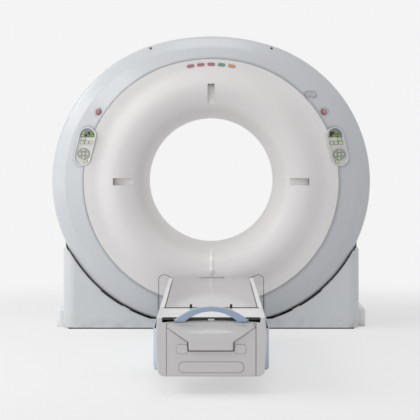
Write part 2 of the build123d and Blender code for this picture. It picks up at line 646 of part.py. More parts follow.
def upright_outline():
    """A stand's steel plate seen from the side, about the tilt axis."""
    narrow, foot = neck_half(NECK_DEPTH), -(ISO_Z - FRAME_TOP_Z + 5)
    right = [(UPRIGHT_DISC_R - 12, -60), (narrow, -NECK_DEPTH), (narrow, -NECK_END_DEPTH)]
    right += [(UPRIGHT_FOOT_HALF, -UPRIGHT_KNEE_DEPTH), (UPRIGHT_FOOT_HALF, foot)]
    with BuildSketch() as outline:
        Circle(UPRIGHT_DISC_R)
        add(polygon(*right, *[(-y, z) for y, z in reversed(right)]))
    return outline.sketch


with BuildPart() as base_frame:
    for x0, x1 in ((FOOT_BLOCK_IN_X, FOOT_BLOCK_OUT_X), (-FOOT_BLOCK_OUT_X, -FOOT_BLOCK_IN_X)):
        add(block(x0, x1, FOOT_BLOCK_FRONT_Y, FOOT_BLOCK_BACK_Y, FRAME_BOTTOM_Z, FRAME_TOP_Z))
        for y0, y1 in ((FOOT_BLOCK_FRONT_Y + 60, 20), (20 + FRAME_WALL, FOOT_BLOCK_BACK_Y - 60)):
            cut = block(x0 + FRAME_WALL, x1 - 60, y0, y1, FRAME_BOTTOM_Z + FRAME_WALL, FRAME_TOP_Z + 5)
            add(cut, mode=Mode.SUBTRACT)
    add(cradle_wrap(WALL + SEAT), mode=Mode.INTERSECT)
    inner, back = FOOT_BLOCK_IN_X + 5, FOOT_BLOCK_BACK_Y
    add(block(-inner, inner, FRONT_BEAM_Y, FRONT_BEAM_Y + FRONT_BEAM_DEEP, FRAME_BOTTOM_Z, FRONT_BEAM_Z))
    add(block(-inner, inner, back - REAR_BEAM_DEEP, back, FRAME_BOTTOM_Z, REAR_BEAM_Z))
    with BuildSketch(Plane.XY):
        anchors = [(x, y) for x in (-ANCHOR_X, ANCHOR_X) for y in (ANCHOR_FRONT_Y, ANCHOR_BACK_Y)]
        with Locations(*anchors):
            Circle(ANCHOR_R)
    extrude(amount=FRAME_TOP_Z + 5, mode=Mode.SUBTRACT)
    for sign in (-1, 1):
        with BuildSketch(sideways(UPRIGHT_IN_X if sign > 0 else -UPRIGHT_OUT_X, 0, ISO_Z)):
            add(upright_outline())
        extrude(amount=UPRIGHT_OUT_X - UPRIGHT_IN_X)
        for y in (-GUSSET_Y, GUSSET_Y):
            with BuildSketch(Plane(origin=(0, y, 0), x_dir=(1, 0, 0), z_dir=(0, -1, 0))):
                a, b = sign * (UPRIGHT_IN_X + 5), sign * GUSSET_IN_X
                low = FRAME_TOP_Z - 5
                add(polygon((a, low), (b, low), (b, FRAME_TOP_Z + 20), (a, GUSSET_TOP_Z)))
            extrude(amount=GUSSET_THICK / 2, both=True)
    add(crossbar(-ALL_ACROSS, ALL_ACROSS, 0, ISO_Z, TRUNNION_HOUSING_R), mode=Mode.SUBTRACT)
save(base_frame, "base_frame")

with BuildPart() as trunnion_bearings:
    housing = crossbar(UPRIGHT_IN_X, UPRIGHT_OUT_X, 0, ISO_Z, TRUNNION_HOUSING_R - 0.05)
    for ring in both(housing):
        add(ring)
    add(crossbar(-ALL_ACROSS, ALL_ACROSS, 0, ISO_Z, TRUNNION_R + SHAFT_GAP), mode=Mode.SUBTRACT)
save(trunnion_bearings, "trunnion_bearings")

# Floor plate that ties gantry and couch together, with the pads under the gantry's feet
PLATE_RAIL, PLATE_MIDDLE_Y = 90.0, -1520.0
PLATE_WINDOWS = ((PLATE_FOOT_Y + 80, PLATE_MIDDLE_Y - 40), (PLATE_MIDDLE_Y + 40, PLINTH_HEAD_Y - PLATE_RAIL))
FOOT_PAD_R, FOOT_PAD_X = 36.0, (FOOT_BLOCK_IN_X + FOOT_BLOCK_OUT_X) / 2
FOOT_PADS = [(x, y) for x in (-FOOT_PAD_X, FOOT_PAD_X) for y in (CRADLE_FRONT_Y + 50, CRADLE_BACK_Y - 50)]
with BuildPart() as floor_plate:
    add(block(-PLATE_HALF, PLATE_HALF, PLATE_FOOT_Y, FOOT_BLOCK_BACK_Y, 0, FRAME_BOTTOM_Z))
    fillet(floor_plate.edges().filter_by(Axis.Z).sort_by(Axis.Y)[:2], SKIRT_CORNER_R)
    window = PLATE_HALF - PLATE_RAIL
    for y0, y1 in PLATE_WINDOWS:
        add(block(-window, window, y0, y1, -1, FRAME_BOTTOM_Z + 1), mode=Mode.SUBTRACT)
    with BuildSketch(Plane.XY):
        with Locations(*FOOT_PADS):
            Circle(FOOT_PAD_R)
    extrude(amount=FRAME_BOTTOM_Z)
save(floor_plate, "floor_plate")


# Cradle covers: one wrapped sheet on each side, cut out round the ring
def flat_oval(a, b, flat):
    """An oval cut straight across below a depth."""
    with BuildSketch() as outline:
        add(oval(a, b))
        with Locations((0, -flat - 300)):
            Rectangle(4 * a, 600, mode=Mode.SUBTRACT)
    return outline.sketch


def sector(start, end, reach=1600.0):
    """A wedge from the centre between two directions in degrees."""
    ends = [(reach * cos(radians(t)), reach * sin(radians(t))) for t in (start, end)]
    return polygon((0, 0), *ends)


WIDE_GAPS_DEG = ((224.5, 234.5), (237.5, 262.0))
with BuildPart() as cradle:
    add(cradle_wrap(0))
    inside = cradle_wrap(WALL)
    add(inside, mode=Mode.SUBTRACT)
    opening = flat_oval(RIM_A + CRADLE_GAP, RIM_B + CRADLE_GAP, RING_FLAT_DEPTH + CRADLE_GAP)
    add(slab(opening, -100, CRADLE_FRONT_Y - 10), mode=Mode.SUBTRACT)
    wide = CRADLE_GAP_WIDE
    with BuildSketch() as wide_gap:
        add(flat_oval(RIM_A + wide, RIM_B + wide, RING_FLAT_DEPTH + wide))
        with BuildSketch(mode=Mode.INTERSECT):
            for start, end in WIDE_GAPS_DEG:
                add(sector(start, end))
                add(sector(540 - end, 540 - start))
    add(slab(wide_gap.sketch, -100, CRADLE_FRONT_Y - 10), mode=Mode.SUBTRACT)
    rear = oval(BODY_A + CRADLE_REAR_GAP, BODY_B + CRADLE_REAR_GAP)
    add(slab(rear, CRADLE_BACK_Y + 10, -100), mode=Mode.SUBTRACT)
    over_plate = block(-PLATE_HALF - 1, PLATE_HALF + 1, CRADLE_FRONT_Y - 10, -100, 0, FRAME_BOTTOM_Z + SEAT)
    add(over_plate, mode=Mode.SUBTRACT)
    for side, sign in SIDES:
        x0 = sign * (STAND_OUT_X - CRADLE_CORNER_R)
        add(crossbar(min(x0, 1.2 * x0), max(x0, 1.2 * x0), 0, ISO_Z, CRADLE_SCALLOP_R), mode=Mode.SUBTRACT)

for side, sign in SIDES:
    with BuildPart() as cradle_cover:
        add(cradle.part)
        x0, x1 = sorted((sign * SEAM / 2, sign * ALL_ACROSS))
        add(block(x0, x1, -600, 600, 0, ISO_Z), mode=Mode.INTERSECT)
    save(cradle_cover, f"cradle_cover_{side}")

# Black seals behind the cradle's front edge, close round the ring
SEAL_THICK, SEAL_GAP, SEAL_WIDE = 3.0, 5.0, 45.0
with BuildPart() as cradle_seals:
    opening = flat_oval(RIM_A + SEAL_GAP, RIM_B + SEAL_GAP, RING_FLAT_DEPTH + SEAL_GAP)
    outer = flat_oval(RIM_A + SEAL_WIDE, RIM_B + SEAL_WIDE, RING_FLAT_DEPTH + SEAL_WIDE)
    front, half = CRADLE_FRONT_Y + WALL + SEAT, STAND_OUT_X - CRADLE_CORNER_R
    add(slab(band(outer, opening), front + SEAL_THICK, front))
    add(block(-half, half, -600, 600, 0, CRADLE_TOP_Z - 30), mode=Mode.INTERSECT)
save(cradle_seals, "cradle_seals")

# Side covers of the stands: a disc round the tilt axis on a neck that seats on the cradle's edge
NECK_COVER_DEPTH, NECK_SHOULDER = 548.0, 40.0


def stand_cover_outline():
    """A stand's side cover seen from the side, about the tilt axis."""
    wide, narrow = STAND_DISC_R - 5, neck_half(NECK_COVER_DEPTH)
    corners = [(wide, -NECK_SHOULDER), (narrow, -NECK_COVER_DEPTH)]
    with BuildSketch() as outline:
        Circle(STAND_DISC_R)
        add(polygon(*corners, *[(-y, z) for y, z in reversed(corners)]))
        add(disc(CRADLE_SCALLOP_R - SEAT), mode=Mode.INTERSECT)
    return outline.sketch


with BuildPart() as stand_covers:
    for x0 in (STAND_OUT_X - WALL, -STAND_OUT_X):
        with BuildSketch(sideways(x0, 0, ISO_Z)):
            add(stand_cover_outline())
        extrude(amount=WALL)
save(stand_covers, "stand_covers")

# Low covers over the cradle's side fixings
FOOT_COVER_OUT, FOOT_COVER_HALF, FOOT_COVER_TOP = 54.0, 200.0, 130.0
with BuildPart() as foot_covers:
    for sign in (-1, 1):
        x0, x1 = sorted((sign * (STAND_OUT_X + SEAT), sign * (STAND_OUT_X + FOOT_COVER_OUT)))
        with BuildPart() as cover:
            add(block(x0, x1, -FOOT_COVER_HALF, FOOT_COVER_HALF, 4, FOOT_COVER_TOP))
            outer = cover.faces().sort_by(Axis.X)[-1 if sign > 0 else 0]
            fillet(outer.edges().filter_by(Axis.Z), 30)
            fillet(cover.faces().sort_by(Axis.Z)[-1].edges().sort_by(Axis.X)[0 if sign < 0 else -1], 14)
save(foot_covers, "foot_covers")

# Couch base: rails with the lower roller tracks, the scissor's fixed shaft and its geared motor
BASE_RAIL_IN_X, BASE_RAIL_OUT_X, BASE_RAIL_HEAD_Y, TRACK_Z = 255.0, 325.0, -810.0, 49.5
CROSS_DEEP, CROSS_TOP_Z = 55.0, 34.0
BRACKET_IN_X, BRACKET_OUT_X, BRACKET_HALF = 282.0, 298.0, 40.0
SHAFT_R, PIN_R, AXLE_R, ROLLER_R = 14.0, 12.0, 10.0, 28.0
MOTOR_R, MOTOR_IN_X, MOTOR_OUT_X = 44.0, -200.0, -40.0


def skirt_form(inset):
    """The plinth's form with rounded corners, inset on its four sides."""
    with BuildPart() as body:
        with BuildSketch(Plane.XY.offset(SKIRT_BOTTOM_Z)):
            with Locations((0, (PLINTH_HEAD_Y + PLINTH_FOOT_Y) / 2)):
                long = PLINTH_HEAD_Y - PLINTH_FOOT_Y - 2 * inset
                RectangleRounded(2 * (PLINTH_HALF - inset), long, SKIRT_CORNER_R - inset)
        extrude(amount=PLINTH_TOP_Z - SKIRT_BOTTOM_Z)
    return body.part


with BuildPart() as couch_base_frame:
    for rail in both(block(BASE_RAIL_IN_X, BASE_RAIL_OUT_X, PLATE_FOOT_Y, BASE_RAIL_HEAD_Y, FRAME_BOTTOM_Z, TRACK_Z)):
        add(rail)
    for y0 in (PLATE_FOOT_Y, BASE_RAIL_HEAD_Y - CROSS_DEEP):
        add(block(-BASE_RAIL_IN_X - 1, BASE_RAIL_IN_X + 1, y0, y0 + CROSS_DEEP, FRAME_BOTTOM_Z, CROSS_TOP_Z))
    for y0 in (PLATE_FOOT_Y + 100, BASE_RAIL_HEAD_Y - 200):
        seat_x = PLINTH_HALF - SKIRT_WALL - SEAT
        for tab in both(block(BASE_RAIL_OUT_X - 1, seat_x, y0, y0 + 60, FRAME_BOTTOM_Z + 2, CROSS_TOP_Z)):
            add(tab)
    y0, y1 = LIFT_PIVOT_Y - BRACKET_HALF, LIFT_PIVOT_Y + BRACKET_HALF
    for bracket in both(block(BRACKET_IN_X, BRACKET_OUT_X, y0, y1, TRACK_Z - 2, LIFT_PIVOT_Z + 30)):
        add(bracket)
    add(crossbar(-BRACKET_OUT_X - 4, BRACKET_OUT_X + 4, LIFT_PIVOT_Y, LIFT_PIVOT_Z, SHAFT_R))
    add(crossbar(MOTOR_IN_X, MOTOR_OUT_X, LIFT_PIVOT_Y, LIFT_PIVOT_Z, MOTOR_R))
    add(skirt_form(SKIRT_WALL + SEAT), mode=Mode.INTERSECT)
save(couch_base_frame, "couch_base_frame")

# Plinth skirt round the couch base
with BuildPart() as couch_skirt:
    add(skirt_form(0))
    add(skirt_form(SKIRT_WALL), mode=Mode.SUBTRACT)
    over_plate = block(-PLATE_HALF - 1, PLATE_HALF + 1, -900, -700, 0, FRAME_BOTTOM_Z + SEAT)
    add(over_plate, mode=Mode.SUBTRACT)
save(couch_skirt, "couch_skirt")

# Scissor lift: two pairs of arms that cross and turn on each other at their middles
OUTER_ARM_X, INNER_ARM_X = 262.0, 240.0
reach_y, reach_z = ARM_LENGTH * cos(radians(ARM_REST_DEG)), ARM_LENGTH * sin(radians(ARM_REST_DEG))
ARM_FAR_Y, ARM_TOP_Z = LIFT_PIVOT_Y - reach_y, LIFT_PIVOT_Z + reach_z
ARM_MIDDLE = (LIFT_PIVOT_Y - reach_y / 2, LIFT_PIVOT_Z + reach_z / 2)
TUBE_SHARE, ARM_TUBE_R = 0.35, 15.0


def arm_pair(x0, tilt_deg):
    """Two flat bars with round ends, one on each side, between the middle lines of their pivots."""
    with BuildPart() as bar:
        with BuildSketch(sideways(x0, *ARM_MIDDLE)):
            SlotCenterToCenter(ARM_LENGTH, ARM_HIGH, rotation=tilt_deg)
        extrude(amount=ARM_THICK)
    return both(bar.part)


tube_y, tube_z = TUBE_SHARE * reach_y, TUBE_SHARE * reach_z
with BuildPart() as lift_arms_outer:
    for bar in arm_pair(OUTER_ARM_X, -ARM_REST_DEG):
        add(bar)
    wide = OUTER_ARM_X + ARM_THICK + 5
    add(crossbar(-wide, wide, LIFT_PIVOT_Y, LIFT_PIVOT_Z, SHAFT_R + SHAFT_GAP), mode=Mode.SUBTRACT)
    add(crossbar(-wide, wide, *ARM_MIDDLE, PIN_R + SHAFT_GAP), mode=Mode.SUBTRACT)
    add(crossbar(-OUTER_ARM_X - 3, OUTER_ARM_X + 3, ARM_MIDDLE[0] + tube_y, ARM_MIDDLE[1] - tube_z, ARM_TUBE_R))
    for roller in both(crossbar(INNER_ARM_X - 2, OUTER_ARM_X - 2, ARM_FAR_Y, ARM_TOP_Z, ROLLER_R)):
        add(roller)
    for axle in both(crossbar(OUTER_ARM_X - 8, OUTER_ARM_X + 8, ARM_FAR_Y, ARM_TOP_Z, AXLE_R)):
        add(axle)
save(lift_arms_outer, "lift_arms_outer")

with BuildPart() as lift_arms_inner:
    for bar in arm_pair(INNER_ARM_X, ARM_REST_DEG):
        add(bar)
    wide = INNER_ARM_X + ARM_THICK + 5
    add(crossbar(-wide, wide, LIFT_PIVOT_Y, ARM_TOP_Z, PIN_R + SHAFT_GAP), mode=Mode.SUBTRACT)
    add(crossbar(-INNER_ARM_X - 3, INNER_ARM_X + 3, ARM_MIDDLE[0] - tube_y, ARM_MIDDLE[1] - tube_z, ARM_TUBE_R))
    for pin in both(crossbar(INNER_ARM_X + 8, OUTER_ARM_X + ARM_THICK, *ARM_MIDDLE, PIN_R)):
        add(pin)
    roller_x = INNER_ARM_X + ARM_THICK + 1
    for roller in both(crossbar(roller_x, roller_x + 26, ARM_FAR_Y, LIFT_PIVOT_Z, ROLLER_R)):
        add(roller)
    for axle in both(crossbar(roller_x - 8, roller_x + 8, ARM_FAR_Y, LIFT_PIVOT_Z, AXLE_R)):
        add(axle)
save(lift_arms_inner, "lift_arms_inner")


def run(outline, y0, y1):
    """An outline above the floor carried straight from one station of the couch to another."""
    with BuildPart() as body:
        with BuildSketch(Plane(origin=(0, y0, 0), x_dir=(1, 0, 0), z_dir=(0, -1, 0))):
            add(outline)
        extrude(amount=y0 - y1)
    return body.part


# Couch upper frame: side beams, deck, guides for the tabletop, and the upper roller tracks
BEAM_IN_X, BEAM_OUT_X, BEAM_TOP_Z = 262.0, 278.0, 350.0
DECK_LOW_Z, DECK_TOP_Z = 346.0, 356.0
FLANGE_IN_X, FLANGE_OUT_X = 264.0, 274.0
UPPER_TRACK_IN_X, UPPER_TRACK_Z, UPPER_TRACK_TOP_Z = 235.0, 240.5, 252.0
GUIDE_IN_X, GUIDE_OUT_X = 150.0, 170.0
HANGER_IN_X, HANGER_OUT_X, HANGER_HALF = 222.0, 238.0, 26.0
END_BEAM_IN_X, END_BEAM_LOW_Z, END_BEAM_FOOT_Y = 240.0, 260.0, -3100.0
HEAD_PANEL_BACK_Y = RAIL_HEAD_Y - WALL
TABLE_BOTTOM_Z = TABLE_TOP_Z - TABLE_THICK
FLANK_WAIST_Z = 300.0
with BuildPart() as couch_upper_frame:
    head, foot = HEAD_PANEL_BACK_Y - SEAT, TABLE_FOOT_Y
    for x0, x1, z0, z1 in (
        (BEAM_IN_X, BEAM_OUT_X, UPPER_BOTTOM_Z, BEAM_TOP_Z),
        (FLANGE_IN_X, FLANGE_OUT_X, BEAM_TOP_Z - 1, TABLE_TOP_Z - WALL - SEAT),
        (UPPER_TRACK_IN_X, BEAM_IN_X + 2, UPPER_TRACK_Z, UPPER_TRACK_TOP_Z),
        (GUIDE_IN_X, GUIDE_OUT_X, DECK_TOP_Z - 1, TABLE_BOTTOM_Z - SEAT),
    ):
        for beam in both(block(x0, x1, foot, head, z0, z1)):
            add(beam)
    add(block(-BEAM_IN_X - 1, BEAM_IN_X + 1, foot, head, DECK_LOW_Z, DECK_TOP_Z))
    y0, y1 = LIFT_PIVOT_Y - HANGER_HALF, LIFT_PIVOT_Y + HANGER_HALF
    for hanger in both(block(HANGER_IN_X, HANGER_OUT_X, y0, y1, ARM_TOP_Z - 22, DECK_LOW_Z + 1)):
        add(hanger)
    for pin in both(crossbar(HANGER_OUT_X - 8, INNER_ARM_X + ARM_THICK, LIFT_PIVOT_Y, ARM_TOP_Z, PIN_R)):
        add(pin)
    for beam in both(block(END_BEAM_IN_X, BEAM_IN_X + 2, END_BEAM_FOOT_Y, foot + 50, END_BEAM_LOW_Z, BEAM_TOP_Z)):
        add(beam)
    add(block(-BEAM_IN_X, BEAM_IN_X, END_BEAM_FOOT_Y, END_BEAM_FOOT_Y + 40, END_BEAM_LOW_Z, BEAM_TOP_Z))
    tab_x = COUCH_HALF - WALL - 2 * SEAT
    for tab in both(block(BEAM_IN_X, tab_x, -3000, -2900, FLANK_WAIST_Z - 4, FLANK_WAIST_Z + 4)):
        add(tab)
save(couch_upper_frame, "couch_upper_frame")

# Rail covers along both sides of the tabletop, joined by the panel at the head end
RAIL_LIP_X = 258.0
with BuildPart() as couch_rails:
    outline = polygon(
        (RAIL_LIP_X, TABLE_TOP_Z),
        (RAIL_TOP_HALF, TABLE_TOP_Z),
        (COUCH_HALF, FLANK_WAIST_Z),
        (COUCH_HALF, UPPER_BOTTOM_Z),
        (COUCH_HALF - WALL, UPPER_BOTTOM_Z),
        (COUCH_HALF - WALL, FLANK_WAIST_Z),
        (RAIL_TOP_HALF - WALL, TABLE_TOP_Z - WALL),
        (RAIL_LIP_X, TABLE_TOP_Z - WALL),
    )
    for rail in both(run(outline, RAIL_HEAD_Y, TABLE_FOOT_Y)):
        add(rail)
    half = COUCH_HALF - 2
    add(block(-half, half, HEAD_PANEL_BACK_Y, RAIL_HEAD_Y, UPPER_BOTTOM_Z, DECK_LOW_Z))
save(couch_rails, "couch_rails")

# Foot end of the couch: a box with a slot for the handle, a recessed panel and raised covers
END_HEAD_Y, END_FOOT_WALL = TABLE_FOOT_Y - 2, 8.0
END_CORNER_R, END_EDGE_R = 35.0, 7.0
SLOT_HALF, SLOT_LOW_Z, SLOT_MIDDLE_Z = 257.0, 381.0, 391.0
END_PANEL_HALF = 234.0


def end_section(inset):
    """The foot end's outline seen from the foot, above the floor."""
    right = [
        (END_BOTTOM_HALF - inset, END_BOTTOM_Z + inset),
        (COUCH_HALF - inset, FLANK_WAIST_Z),
        (RAIL_TOP_HALF - inset, TABLE_TOP_Z - inset),
    ]
    with BuildSketch() as outline:
        add(polygon(*right, *[(-x, z) for x, z in reversed(right)]))
        fillet([v for v in outline.vertices() if v.Y < END_BOTTOM_Z + inset + 1], END_CORNER_R - inset)
    return outline.sketch


def below_slot(half, top_edge):
    """The outline below the slot's crowned lower edge, or the slot itself up to a height."""
    with BuildSketch() as outline:
        with BuildLine():
            ThreePointArc((-SLOT_HALF, SLOT_LOW_Z), (0, SLOT_MIDDLE_Z), (SLOT_HALF, SLOT_LOW_Z))
            Polyline((SLOT_HALF, SLOT_LOW_Z), (SLOT_HALF, top_edge), (-SLOT_HALF, top_edge), (-SLOT_HALF, SLOT_LOW_Z))
        make_face()
        with Locations((0, (SLOT_LOW_Z + top_edge) / 2)):
            Rectangle(2 * half, 1000, mode=Mode.INTERSECT)
    return outline.sketch


with BuildPart() as end_body:
    add(run(end_section(0), END_HEAD_Y, COUCH_FOOT_Y))
    fillet(end_body.faces().sort_by(Axis.Y)[0].edges(), END_EDGE_R)

with BuildPart() as couch_end_shell:
    add(end_body.part)
    inside = run(end_section(WALL), END_HEAD_Y - WALL, COUCH_FOOT_Y + END_FOOT_WALL)
    add(inside, mode=Mode.SUBTRACT)
    slot = below_slot(SLOT_HALF, TABLE_TOP_Z - WALL)
    add(run(slot, COUCH_FOOT_Y + 20, COUCH_FOOT_Y - 20), mode=Mode.SUBTRACT)
    recess = below_slot(END_PANEL_HALF + SEAM, 0)
    add(run(recess, COUCH_FOOT_Y + WALL, COUCH_FOOT_Y - 20), mode=Mode.SUBTRACT)
    for hole in both(block(END_BEAM_IN_X - 3, BEAM_IN_X + 5, END_HEAD_Y - 10, END_HEAD_Y + 10, END_BEAM_LOW_Z - 3, BEAM_TOP_Z + 3)):
        add(hole, mode=Mode.SUBTRACT)
save(couch_end_shell, "couch_end_shell")

with BuildPart() as couch_end_panel:
    add(end_body.part)
    add(run(below_slot(END_PANEL_HALF, 0), COUCH_FOOT_Y + WALL - SEAT, COUCH_FOOT_Y - 20), mode=Mode.INTERSECT)
save(couch_end_panel, "couch_end_panel")

NOSE_PROUD, NOSE_TOP_Z = 17.0, 378.0
NOSE_OUTLINE = [(-234, 355), (-121, 279), (-118, 234), (116, 234), (118, 279), (232, 355), (228, 378), (-230, 378)]
with BuildPart() as couch_nose_cover:
    with BuildSketch(Plane(origin=(0, COUCH_FOOT_Y - SEAT, 0), x_dir=(1, 0, 0), z_dir=(0, -1, 0))) as nose:
        add(polygon(*NOSE_OUTLINE))
        fillet(nose.vertices(), 8)
    extrude(amount=NOSE_PROUD)
    fillet(couch_nose_cover.faces().sort_by(Axis.Y)[0].edges(), 6)
save(couch_nose_cover, "couch_nose_cover")

CAP_PROUD, CAP_X, CAP_Z, CAP_LONG, CAP_TALL = 3.0, 153.0, 242.0, 57.0, 47.0
PILL_Z, PILL_LONG, PILL_TALL = 147.0, 340.0, 55.0
with BuildPart() as couch_end_caps:
    with BuildSketch(Plane(origin=(0, COUCH_FOOT_Y - SEAT, 0), x_dir=(1, 0, 0), z_dir=(0, -1, 0))):
        with Locations((-CAP_X, CAP_Z), (CAP_X, CAP_Z)):
            RectangleRounded(CAP_LONG, CAP_TALL, 10)
        with Locations((0, PILL_Z)):
            SlotOverall(PILL_LONG, PILL_TALL)
    extrude(amount=CAP_PROUD)
save(couch_end_caps, "couch_end_caps")

# Blue arch handle that leaves the slot and rises above the couch
HANDLE_OUT, HANDLE_IN, HANDLE_DEEP = 199.0, 136.0, 26.0
HANDLE_TOP_Z, HANDLE_UNDER_Z, HANDLE_FOOT_Z = 467.0, 441.0, 389.0
LEG_IN, LEG_OUT, LEG_DEEP = 140.0, 195.0, 60.0
with BuildPart() as couch_handle:
    with BuildSketch(Plane(origin=(0, COUCH_FOOT_Y - SEAT, 0), x_dir=(1, 0, 0), z_dir=(0, -1, 0))) as arch:
        with BuildLine():
            ThreePointArc((-HANDLE_OUT, HANDLE_FOOT_Z), (0, HANDLE_TOP_Z), (HANDLE_OUT, HANDLE_FOOT_Z))
            Line((HANDLE_OUT, HANDLE_FOOT_Z), (HANDLE_IN, HANDLE_FOOT_Z))
            ThreePointArc((HANDLE_IN, HANDLE_FOOT_Z), (0, HANDLE_UNDER_Z), (-HANDLE_IN, HANDLE_FOOT_Z))
            Line((-HANDLE_IN, HANDLE_FOOT_Z), (-HANDLE_OUT, HANDLE_FOOT_Z))
        make_face()
        fillet(arch.vertices(), 5)
    extrude(amount=HANDLE_DEEP)
    fillet(couch_handle.faces().sort_by(Axis.Y)[0].edges(), 6)
    top = TABLE_TOP_Z - WALL - SEAT
    y0, y1 = COUCH_FOOT_Y - SEAT - 10, COUCH_FOOT_Y + LEG_DEEP
    for leg in both(block(LEG_IN, LEG_OUT, y0, y1, HANDLE_FOOT_Z, top)):
        add(leg)
save(couch_handle, "couch_handle")

POST_HALF, POST_Y, POST_DEEP, POST_TALL = 7.0, -2698.0, 14.0, 18.0
with BuildPart() as strap_posts:
    for x in (-112, 110):
        add(block(x - POST_HALF, x + POST_HALF, POST_Y - POST_DEEP, POST_Y, TABLE_TOP_Z + SEAT, TABLE_TOP_Z + POST_TALL))
    fillet(strap_posts.edges().filter_by(Axis.Z), 3)
save(strap_posts, "strap_posts")

# Tabletop: a long flat shell with a crowned underside and two runners
TABLE_SIDE_Z, RUNNER_EDGE_R = 385.0, 5.0
LIP_IN_X, LIP_OUT_X, LIP_DEEP, LIP_TALL = -75.0, 86.0, 14.0, 6.0
with BuildPart() as tabletop:
    with BuildSketch(Plane(origin=(0, TABLE_HEAD_Y, 0), x_dir=(1, 0, 0), z_dir=(0, -1, 0))) as section:
        with BuildLine():
            ThreePointArc((-TABLE_HALF, TABLE_SIDE_Z), (0, TABLE_BOTTOM_Z), (TABLE_HALF, TABLE_SIDE_Z))
            Polyline(
                (TABLE_HALF, TABLE_SIDE_Z),
                (TABLE_HALF, TABLE_TOP_Z),
                (-TABLE_HALF, TABLE_TOP_Z),
                (-TABLE_HALF, TABLE_SIDE_Z),
            )
        make_face()
        fillet([v for v in section.vertices() if v.Y > TABLE_TOP_Z - 1], RUNNER_EDGE_R)
    extrude(amount=TABLE_HEAD_Y - TABLE_FOOT_Y)
    for runner in both(block(GUIDE_IN_X, GUIDE_OUT_X, TABLE_FOOT_Y, TABLE_HEAD_Y - 40, TABLE_BOTTOM_Z, TABLE_SIDE_Z)):
        add(runner)
    add(block(LIP_IN_X, LIP_OUT_X, TABLE_HEAD_Y - LIP_DEEP, TABLE_HEAD_Y, TABLE_TOP_Z - 2, TABLE_TOP_Z + LIP_TALL))
save(tabletop, "tabletop")

# Control panels: a bezel round a recessed plate with a display head, five keys and a round pad of five
KEY_LONG, KEY_TALL, KEY_CORNER_R = 26.0, 19.0, 4.0
KEY_FRONT, KEY_BACK, KEY_TRAVEL, KEY_ROOM = 2.5, 20.0, 1.5, 2.0
KEY_EDGE_R = 1.0
KEY_PLACES = {
    "left": {"top": (-11, 55), "first": (-21, 29), "middle": (12, 29), "last": (44, 29), "low": (3, -104)},
    "right": {"top": (16, 51), "first": (-41, 26), "middle": (-9, 26), "last": (24, 26), "low": (-1, -106)},
}
PAD_LONG, PAD_TALL, PAD_FRONT, PAD_CAP, PAD_CAP_PITCH = 93.0, 79.0, 4.0, 20.0, 27.0
PAD_PLACES = {"left": (-10, -50), "right": (14, -55)}
HEAD_LOW, HEAD_FRONT = 66.0, 3.5
DISPLAY_LONG, DISPLAY_TALL, DISPLAY_DEEP = 78.0, 36.0, 0.6
DISPLAY_PLACES = {"left": (34, 87), "right": (-17, 86)}


def key_outline(margin):
    """A key's rounded outline, widened by a margin."""
    with BuildSketch() as outline:
        RectangleRounded(KEY_LONG + 2 * margin, KEY_TALL + 2 * margin, KEY_CORNER_R + margin)
    return outline.sketch


def pad_outline(margin):
    """The round pad's outline, widened by a margin."""
    with BuildSketch() as outline:
        Ellipse(PAD_LONG / 2 + margin, PAD_TALL / 2 + margin)
    return outline.sketch


def panel_piece(sign, outline, place, front, back):
    """An outline at a level place on one control panel, between two depths behind its face."""
    with BuildPart() as body:
        with BuildSketch(panel_plane(sign, back, level=True)):
            with Locations(place):
                add(outline)
        extrude(amount=back - front)
    return body.part


pocket_back = KEY_BACK + KEY_TRAVEL + KEY_ROOM
for side, sign in SIDES:
    with BuildPart() as control_panel:
        add(panel_plug(sign, 0, -PANEL_PROUD, PANEL_DEEP))
        add(panel_plug(sign, -PANEL_BEZEL, -PANEL_PROUD - 1, PANEL_RECESS), mode=Mode.SUBTRACT)
        for place in KEY_PLACES[side].values():
            add(panel_piece(sign, key_outline(SEAT), place, 0, pocket_back), mode=Mode.SUBTRACT)
        add(panel_piece(sign, pad_outline(SEAT), PAD_PLACES[side], 0, pocket_back), mode=Mode.SUBTRACT)
    save(control_panel, f"control_panel_{side}")

    for name, place in KEY_PLACES[side].items():
        with BuildPart() as panel_key:
            add(panel_piece(sign, key_outline(0), place, KEY_FRONT, KEY_BACK))
            fillet(panel_key.faces().sort_by(Axis.Y)[0].edges(), KEY_EDGE_R)
        save(panel_key, f"key_{side}_{name}")

    with BuildPart() as panel_pad:
        add(panel_piece(sign, pad_outline(0), PAD_PLACES[side], PAD_FRONT, KEY_BACK))
        with BuildSketch(panel_plane(sign, PAD_FRONT, level=True)):
            with Locations(PAD_PLACES[side]):
                with Locations((0, 0), (0, PAD_CAP_PITCH), (0, -PAD_CAP_PITCH), (PAD_CAP_PITCH, 0), (-PAD_CAP_PITCH, 0)):
                    RectangleRounded(PAD_CAP, PAD_CAP, KEY_CORNER_R)
        extrude(amount=PAD_FRONT - KEY_FRONT)
    save(panel_pad, f"pad_{side}")

with BuildPart() as panel_displays:
    for side, sign in SIDES:
        with BuildPart() as head:
            add(panel_plug(sign, -PANEL_BEZEL - SEAT, HEAD_FRONT, PANEL_RECESS - SEAT))
            with BuildSketch(panel_plane(sign, PANEL_RECESS, level=True)):
                with Locations((0, HEAD_LOW + PANEL_LONG / 2)):
                    Rectangle(2 * PANEL_LONG, PANEL_LONG)
            extrude(amount=PANEL_RECESS, mode=Mode.INTERSECT)
            with BuildSketch(panel_plane(sign, HEAD_FRONT + DISPLAY_DEEP, level=True)):
                with Locations(DISPLAY_PLACES[side]):
                    RectangleRounded(DISPLAY_LONG, DISPLAY_TALL, 2)
            extrude(amount=PANEL_RECESS, mode=Mode.SUBTRACT)
save(panel_displays, "panel_displays")

